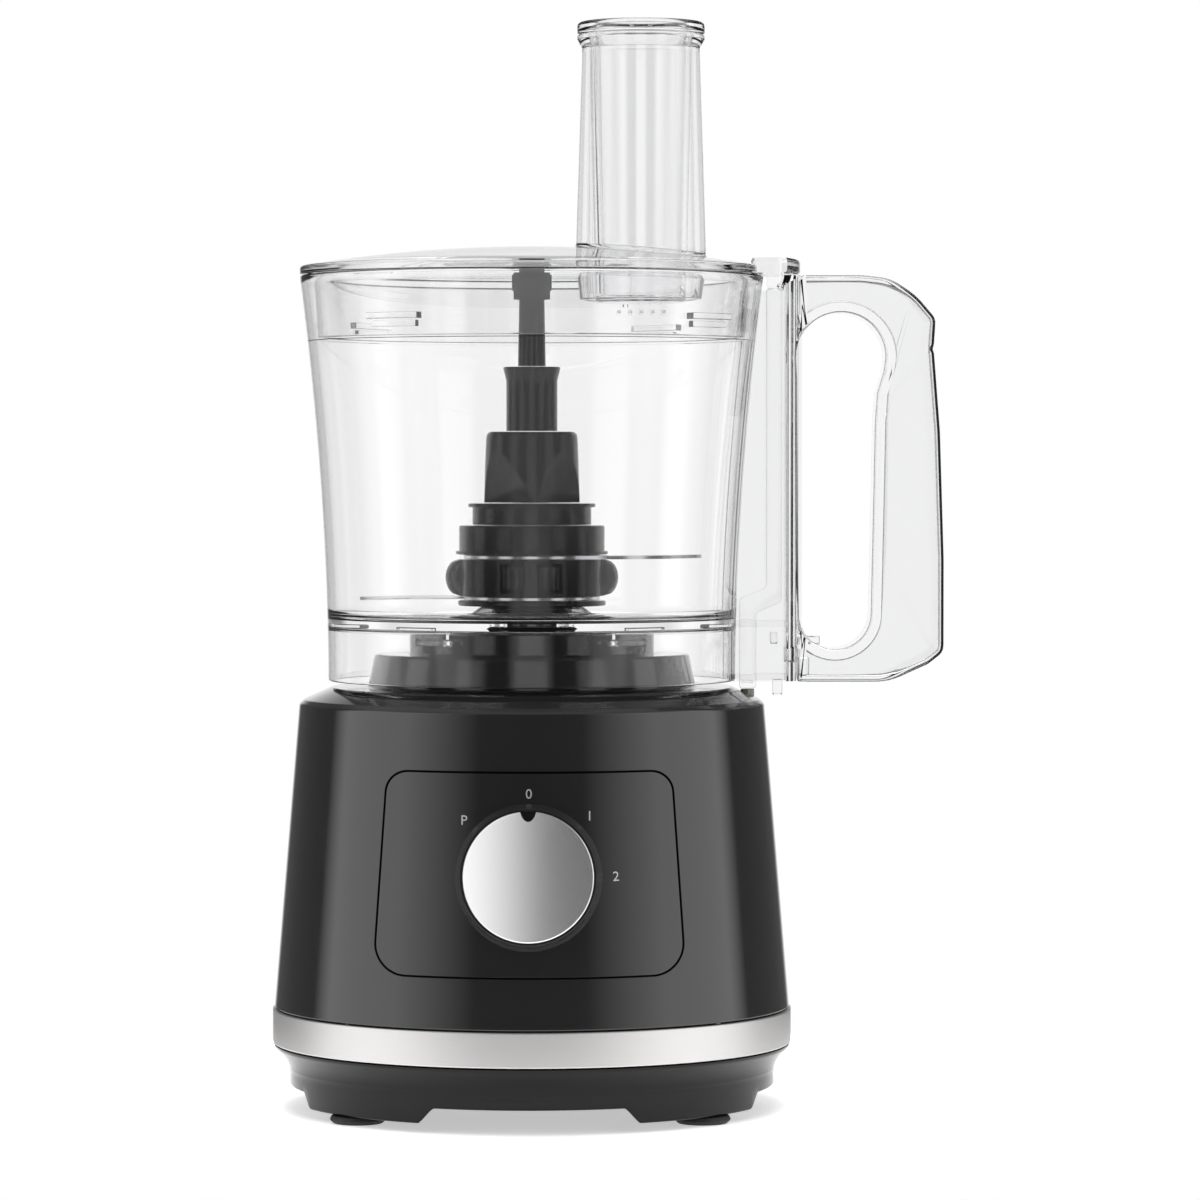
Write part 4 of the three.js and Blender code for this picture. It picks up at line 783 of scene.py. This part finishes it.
# Knife stack: black moulded rings on a driving sleeve, clamped together over two steel blades.
# The lower hub has a lobe on each side, and its front and back are hollowed between short ribs.
stack_black = speckle(finish_of("stack_black", (0.005, 0.005, 0.0052), 0.13, Specular_IOR_Level=0.3),
                      6, 0.002, 0.1, 0.16)
hub = cad("knife_hub")
hub_rows = np.linspace(0, 1, 22)
hub_angle = np.arange(360) * 2 * math.pi / 360


def bump(angle, middle, half):
    """A smooth hill in angle: one at the middle, nothing beyond the half width."""
    away = np.abs((angle - middle + math.pi) % (2 * math.pi) - math.pi) / half
    return np.where(away < 1, (1 - away * away) ** 2, 0)


hub_z = hub[0][2] + (hub[1][2] - hub[0][2]) * hub_rows
belly = np.sqrt(np.clip(1 - (2 * hub_rows - 1) ** 2, 0, 1))
lobes = bump(hub_angle, 0, 0.36) ** 0.5 + bump(hub_angle, math.pi, 0.36) ** 0.5
dent = sum(bump(hub_angle, math.radians(at), 0.17) ** 0.2 for at in (255, 285, 75, 105))
hub_radius = 26.4 + 4.7 * np.outer(belly, lobes) - 3 * np.outer(np.clip(5 * belly - 3, 0, 1), dent)
hub_side = np.stack([np.cos(hub_angle) * hub_radius, np.sin(hub_angle) * hub_radius,
                     hub_z[:, None] * np.ones(360)], -1)
bore = np.stack([np.cos(hub_angle) * 13.6, np.sin(hub_angle) * 13.6], -1)
close = [np.hstack([bore, np.full((360, 1), z)]) for z in (hub[1][2], hub[0][2])]
dress(solid("lobed_hub", skin(np.concatenate([hub_side, close]), True, True), sharp=35),
      stack_black, "spindle", "knife_black", "knife_hub")

foot_ring = cad("knife_foot_ring")
neck_foot = floor_top + 0.8
dress(solid("stack_foot", revolve(rounded(
    [(13.6, neck_foot), (14.5, neck_foot), (14.5, foot_ring[0][2]), (26.6, foot_ring[0][2]),
     (26.6, foot_ring[1][2]), (13.6, foot_ring[1][2])],
    [0.2, 0.3, 0.4, 0.5, 0.5, 0.1], True), closed=True)),
      stack_black, "spindle", "knife_black", "knife_foot_ring")

clamp = cad("knife_clamp_ring")
dress(solid("clamp_ring", revolve(rounded(
    [(9.7, clamp[0][2]), (27.4, clamp[0][2]), (27.4, clamp[0][2] + 1.2), (26.2, clamp[0][2] + 1.3),
     (26.2, clamp[1][2]), (0, clamp[1][2]), (0, clamp[1][2] - 2.2), (9.7, clamp[1][2] - 2.2)],
    [0.2, 0.4, 0.3, 0.2, 0.7, 0, 0, 0.3], True), closed=True)),
    stack_black, "spindle", "knife_black", "knife_clamp_ring")

collar = cad("knife_collar")
dress(solid("stack_collar", revolve(rounded(
    [(0, collar[0][2]), (21.4, collar[0][2]), (21.4, collar[1][2] - 1.6), (22.9, collar[1][2] - 1.3),
     (22.9, collar[1][2]), (0, collar[1][2])], [0, 0.3, 0.4, 0.3, 0.4, 0]))),
    stack_black, "spindle", "knife_black", "knife_collar")

# The driving sleeve is a turned plug with four flats that lean out and twist as they rise, so
# that each flat ends in an arch near the top. A corner between two flats faces the front.
sleeve = cad("drive_sleeve")
sleeve_share = np.linspace(0, 1, 60)
sleeve_angle = np.arange(720) * 2 * math.pi / 720


def flat_sided(angle, share, twist):
    """The radius of four leaning flats: each flat's distance from the axis, which grows evenly
    with the height, over the cosine of the angle from the flat's middle."""
    from_flat = (angle - twist) % (math.pi / 2) - math.pi / 4
    return (12.7 + 3.9 * share / 0.69) / np.cos(from_flat)


sleeve_twist = np.radians(5 - 12 * sleeve_share)[:, None]
turned_plug = np.interp(sleeve_share, [0, 0.5, 0.9, 0.965, 1], [17.2, 16.9, 16.5, 16.2, 15.2])[:, None]
sleeve_radius = np.minimum(flat_sided(sleeve_angle, sleeve_share[:, None], sleeve_twist), turned_plug)
sleeve_z = sleeve[0][2] + (sleeve[1][2] - sleeve[0][2]) * sleeve_share
sleeve_side = np.stack([np.cos(sleeve_angle) * sleeve_radius, np.sin(sleeve_angle) * sleeve_radius,
                        sleeve_z[:, None] * np.ones(len(sleeve_angle))], -1)
dress(solid("twisted_sleeve", skin(sleeve_side, wrap_columns=True, caps=True), sharp=9),
      stack_black, "spindle", "knife_black", "drive_sleeve")

neck = cad("sleeve_neck")
dress(solid("sleeve_throat", revolve(rounded(
    [(0, neck[0][2]), (9.2, neck[0][2]), (9.2, neck[1][2] - 5), (10.4, neck[1][2]), (0, neck[1][2])],
    [0, 0.2, 3, 0.5, 0]))), stack_black, "spindle", "knife_black", "sleeve_neck")
upper = cad("upper_shaft")
dress(solid("bearing_pin", revolve(rounded(
    [(0, upper[0][2]), (5, upper[0][2]), (4.4, upper[1][2] - 1), (0, upper[1][2])], [0, 0.1, 1.4, 0]))),
    stack_black, "spindle", "knife_black", "upper_shaft")


# Blades: two sickle-shaped knives stamped from stainless steel, ground to an edge along the
# front and clamped by their rings between the hub's parts, one low and one high, half a turn apart.
def blade_skin(height, turned_by):
    """A blade between its back and its cutting edge, both smooth curves from the hub to the tip:
    thick along the back, and thinned evenly to the edge over its last third."""
    t = np.linspace(0, 1, 60)[:, None]
    back = (1 - t) ** 2 * [10, -18] + 2 * t * (1 - t) * [44.5, -24] + t ** 2 * [61.4, 7.5]
    front = (1 - t) ** 2 * [10, 15] + 2 * t * (1 - t) * [36, -2] + t ** 2 * [58.8, 11.6]
    across = np.array([(0, -0.6), (0, 0.6), (0.6, 0.6), (1, 0.08), (1, -0.08), (0.6, -0.6)])
    place = back[:, None] + (front - back)[:, None] * across[None, :, :1]
    c, s = math.cos(turned_by), math.sin(turned_by)
    return skin(np.stack([place[..., 0] * c - place[..., 1] * s, place[..., 0] * s + place[..., 1] * c,
                          np.broadcast_to(height + across[:, 1], place.shape[:2])], -1),
                wrap_columns=True, caps=True)


blade_steel = speckle(finish_of("blade_steel", (0.62, 0.63, 0.65), 0.16, 1.0, Anisotropic=0.5),
                      1.2, 0.0008, 0.12, 0.22, (1, 8, 1))
for name, turned_by in (("blade_lower", math.pi), ("blade_upper", 0)):
    height = cad(name).mean(0)[2]
    plate = revolve(bar_profile(13.8, 24.5, height - 0.6, height + 0.6, 0.15), turns=96, closed=True)
    dress(solid(f"knife_{name}", blade_skin(height, turned_by), plate, sharp=25),
          blade_steel, "spindle", "steel", name)


# Lid: one clear moulding. A shallow dome runs out to a flange that rests on the bowl's rim; a
# skirt hangs inside the bowl; and the round feed tube stands off centre. Four lugs lock the lid.
lid = cad("lid")
lid_under = rim + 0.3
flange_top = lid_under + 3.1
tube_top = lid[1][2]
tube_x = cad("pusher").mean(0)[0]
skirt_low = rim - 22.4
lid_clear = clear_plastic("lid_clear", (0.985, 0.985, 0.987))


def dome_height(distance):
    """The dome's height at a distance from the axis, seven millimetres above the flange at the
    middle and level with it at the edge."""
    return flange_top + 7 * (1 - (distance / 83.3) ** 2)


# Each row is a circle: [centre's offset, radius, height, share of the dome's own height].
tube_out = rounded([(19.4, tube_top), (22.9, tube_top), (22.9, tube_top - 1.5), (21.1, tube_top - 4.6),
                    (23.3, 310)], [0.5, 0.6, 0.8, 1.5, 0])
tube_rows = [(tube_x, r, z, 0) for r, z in tube_out]
blend_in = [(tube_x, 24.9 - 1.6 * math.cos(a), 1.6 - 1.6 * math.sin(a), 1)
            for a in np.linspace(0, math.pi / 2, 6)]
dome_rows = [(tube_x * (1 - s), 25.2 + (81.6 - 25.2) * s, 0, 1) for s in np.linspace(0, 1, 26)]
flange_rows = [(0, r, z, 0) for r, z in rounded(
    [(81.6, flange_top + 0.2), (83.3, flange_top), (83.3, lid_under), (78.2, lid_under), (76.6, skirt_low),
     (75.2, skirt_low), (76.2, 298), (76.0, flange_top - 1.6)],
    [0, 1.1, 0.5, 1.0, 0.6, 0.6, 2, 0])[1:-1]]
under_rows = [(tube_x * (1 - s), 23.6 + (75.0 - 23.6) * s, -2.2, 1) for s in np.linspace(1, 0, 20)]
tube_step = lid[0][2] + 14.2
bore_rows = [(tube_x, r, z, 0) for r, z in rounded(
    [(23.4, 304), (21.9, tube_step), (19.9, tube_step), (18.9, tube_top - 6), (19.4, tube_top)],
    [0, 0.5, 0.5, 1, 0])[1:]]
rings = np.array(tube_rows + blend_in + dome_rows + flange_rows + under_rows + bore_rows)
lid_angle = np.arange(288) * 2 * math.pi / 288
ring_x = rings[:, :1] + rings[:, 1:2] * np.cos(lid_angle)
ring_y = rings[:, 1:2] * np.sin(lid_angle)
on_dome = dome_height(np.minimum(np.hypot(ring_x, ring_y), 83.3))
ring_z = rings[:, 2:3] + rings[:, 3:4] * on_dome
lid_skin = skin(np.stack([ring_x, ring_y, ring_z], -1), True, True)
lid_lugs = [arc_bar(bar_profile(75.6, 78.2, rim - 19.4, rim - 17.2), at - 7, at + 7)
            for at in (53, 143, 233, 323)]
tab = arc_bar(bar_profile(83.0, 96.4, lid_under, lid_under + 5.4, 1.2), -20, 10, 40)
cam_profile = bar_profile(84.6, 88.8, rim - 3.7, lid_under + 0.4, 0.4)
cam = arc_bar(cam_profile, -2.6, 2.6, 10)
seat_cup = revolve(rounded([(7.9, 305), (7.9, 300.5), (9.1, 300.5), (9.1, 305)], [0, 0.3, 0.3, 0], True),
                   turns=64, closed=True)

# A thin web hangs under the dome's back half, and its lower edge sags towards the middle.
web_at = np.radians(np.linspace(62, 184, 90))
web_sag = 296.8 - 5.6 * np.sin(np.clip((math.pi - web_at) / 1.5, 0, 1) * math.pi / 2)
web_cross = [np.stack([np.cos(web_at) * r, np.sin(web_at) * r, top + (web_sag - top) * low], -1)
             for r, low, top in ((71.2, 0, 301.5), (72.4, 0, 301.5), (72.4, 1, 301.5), (71.2, 1, 301.5))]
back_web = skin(np.stack(web_cross, 1), wrap_columns=True, caps=True)
dress(solid("clear_lid", lid_skin, *lid_lugs, tab, cam, seat_cup, back_web, sharp=50),
      lid_clear, "lid", "clear", "lid")

# The bearing is a black fluted cup, pressed up into the lid's middle; the stack's pin turns in it.
bearing = cad("lid_bearing")
cup_rows = rounded([(5.7, bearing[0][2]), (6.7, bearing[0][2]), (6.7, bearing[0][2] + 3),
                    (7.3, bearing[0][2] + 3.4), (7.3, bearing[1][2]), (0, bearing[1][2]),
                    (0, bearing[1][2] - 2), (5.7, bearing[1][2] - 2)],
                   [0.2, 0.2, 0.2, 0.2, 0.5, 0, 0, 0.3], True)
cup_angle = np.arange(288) * 2 * math.pi / 288
flute = 1 - 0.09 * (0.5 + 0.5 * np.cos(14 * cup_angle))[:, None] * (cup_rows[:, 0] > 6.3) * (
    cup_rows[:, 1] < bearing[1][2] - 4)
cup = np.stack([np.cos(cup_angle)[:, None] * cup_rows[:, 0] * flute,
                np.sin(cup_angle)[:, None] * cup_rows[:, 0] * flute,
                np.broadcast_to(cup_rows[:, 1], flute.shape)], -1)
dress(solid("bearing_cup", skin(cup, True, True)), satin_moulding, "lid", "satin_black", "lid_bearing")


# Pusher: a clear cup that slides in the feed tube and hangs from its rolled lip. It is open at
# the top, so that it also measures, and five short ribs grip the food under its floor.
pusher = cad("pusher")
pusher_low, pusher_high = pusher[0][2], pusher[1][2]
pusher_clear = clear_plastic("pusher_clear", (0.98, 0.98, 0.983))
cup_wall = rounded(
    [(0, pusher_low + 4), (16.3, pusher_low + 4), (18.3, tube_top), (18.3, tube_top + 0.3),
     (22.9, tube_top + 0.3), (22.9, pusher_high), (17.2, pusher_high), (16.2, pusher_high - 4),
     (14.4, pusher_low + 6.2), (0, pusher_low + 6.2)],
    [0, 1.5, 0, 0.2, 0.8, 1.6, 1.4, 2, 1.2, 0])
ribs = []
for x in (-8, -4, 0, 4, 8):
    reach = 11.5 if abs(x) < 6 else 8.5
    rib = rounded([(-reach, 0), (reach, 0), (reach, 4.4), (-reach, 4.4)], [1.2, 1.2, 0, 0], True, 4)
    thick = np.array([-0.7, 0.7])[:, None] * np.ones(len(rib))
    ribs.append(skin(np.stack([tube_x + x + thick, rib[:, 0] * np.ones_like(thick),
                               pusher_low + rib[:, 1] * np.ones_like(thick)], -1),
                     wrap_columns=True, caps=True))

# Two guide fins run down the pusher's left side. They stay inside the tube's narrowest bore.
guides = []
fin_foot = pusher_low + 8
for at in (163, 197):
    way = np.array([math.cos(math.radians(at)), math.sin(math.radians(at))])
    aside = np.array([-way[1], way[0]])
    fin = []
    for z, reach in ((fin_foot, 18.3), (fin_foot + 3, 18.5), (tube_top - 30, 18.5), (tube_top - 4, 18.4)):
        inner = np.interp(z, [pusher_low + 4, tube_top], [16.0, 18.0])
        fin.append([np.append(np.array([tube_x, 0]) + way * r + aside * t, z)
                    for r, t in ((inner, -0.7), (reach, -0.6), (reach, 0.6), (inner, 0.7))])
    guides.append(skin(np.array(fin), wrap_columns=True, caps=True))
dress(solid("clear_pusher", revolve(cup_wall, (tube_x, 0), 128), *ribs, *guides, sharp=50),
      pusher_clear, "pusher", "clear", "pusher")
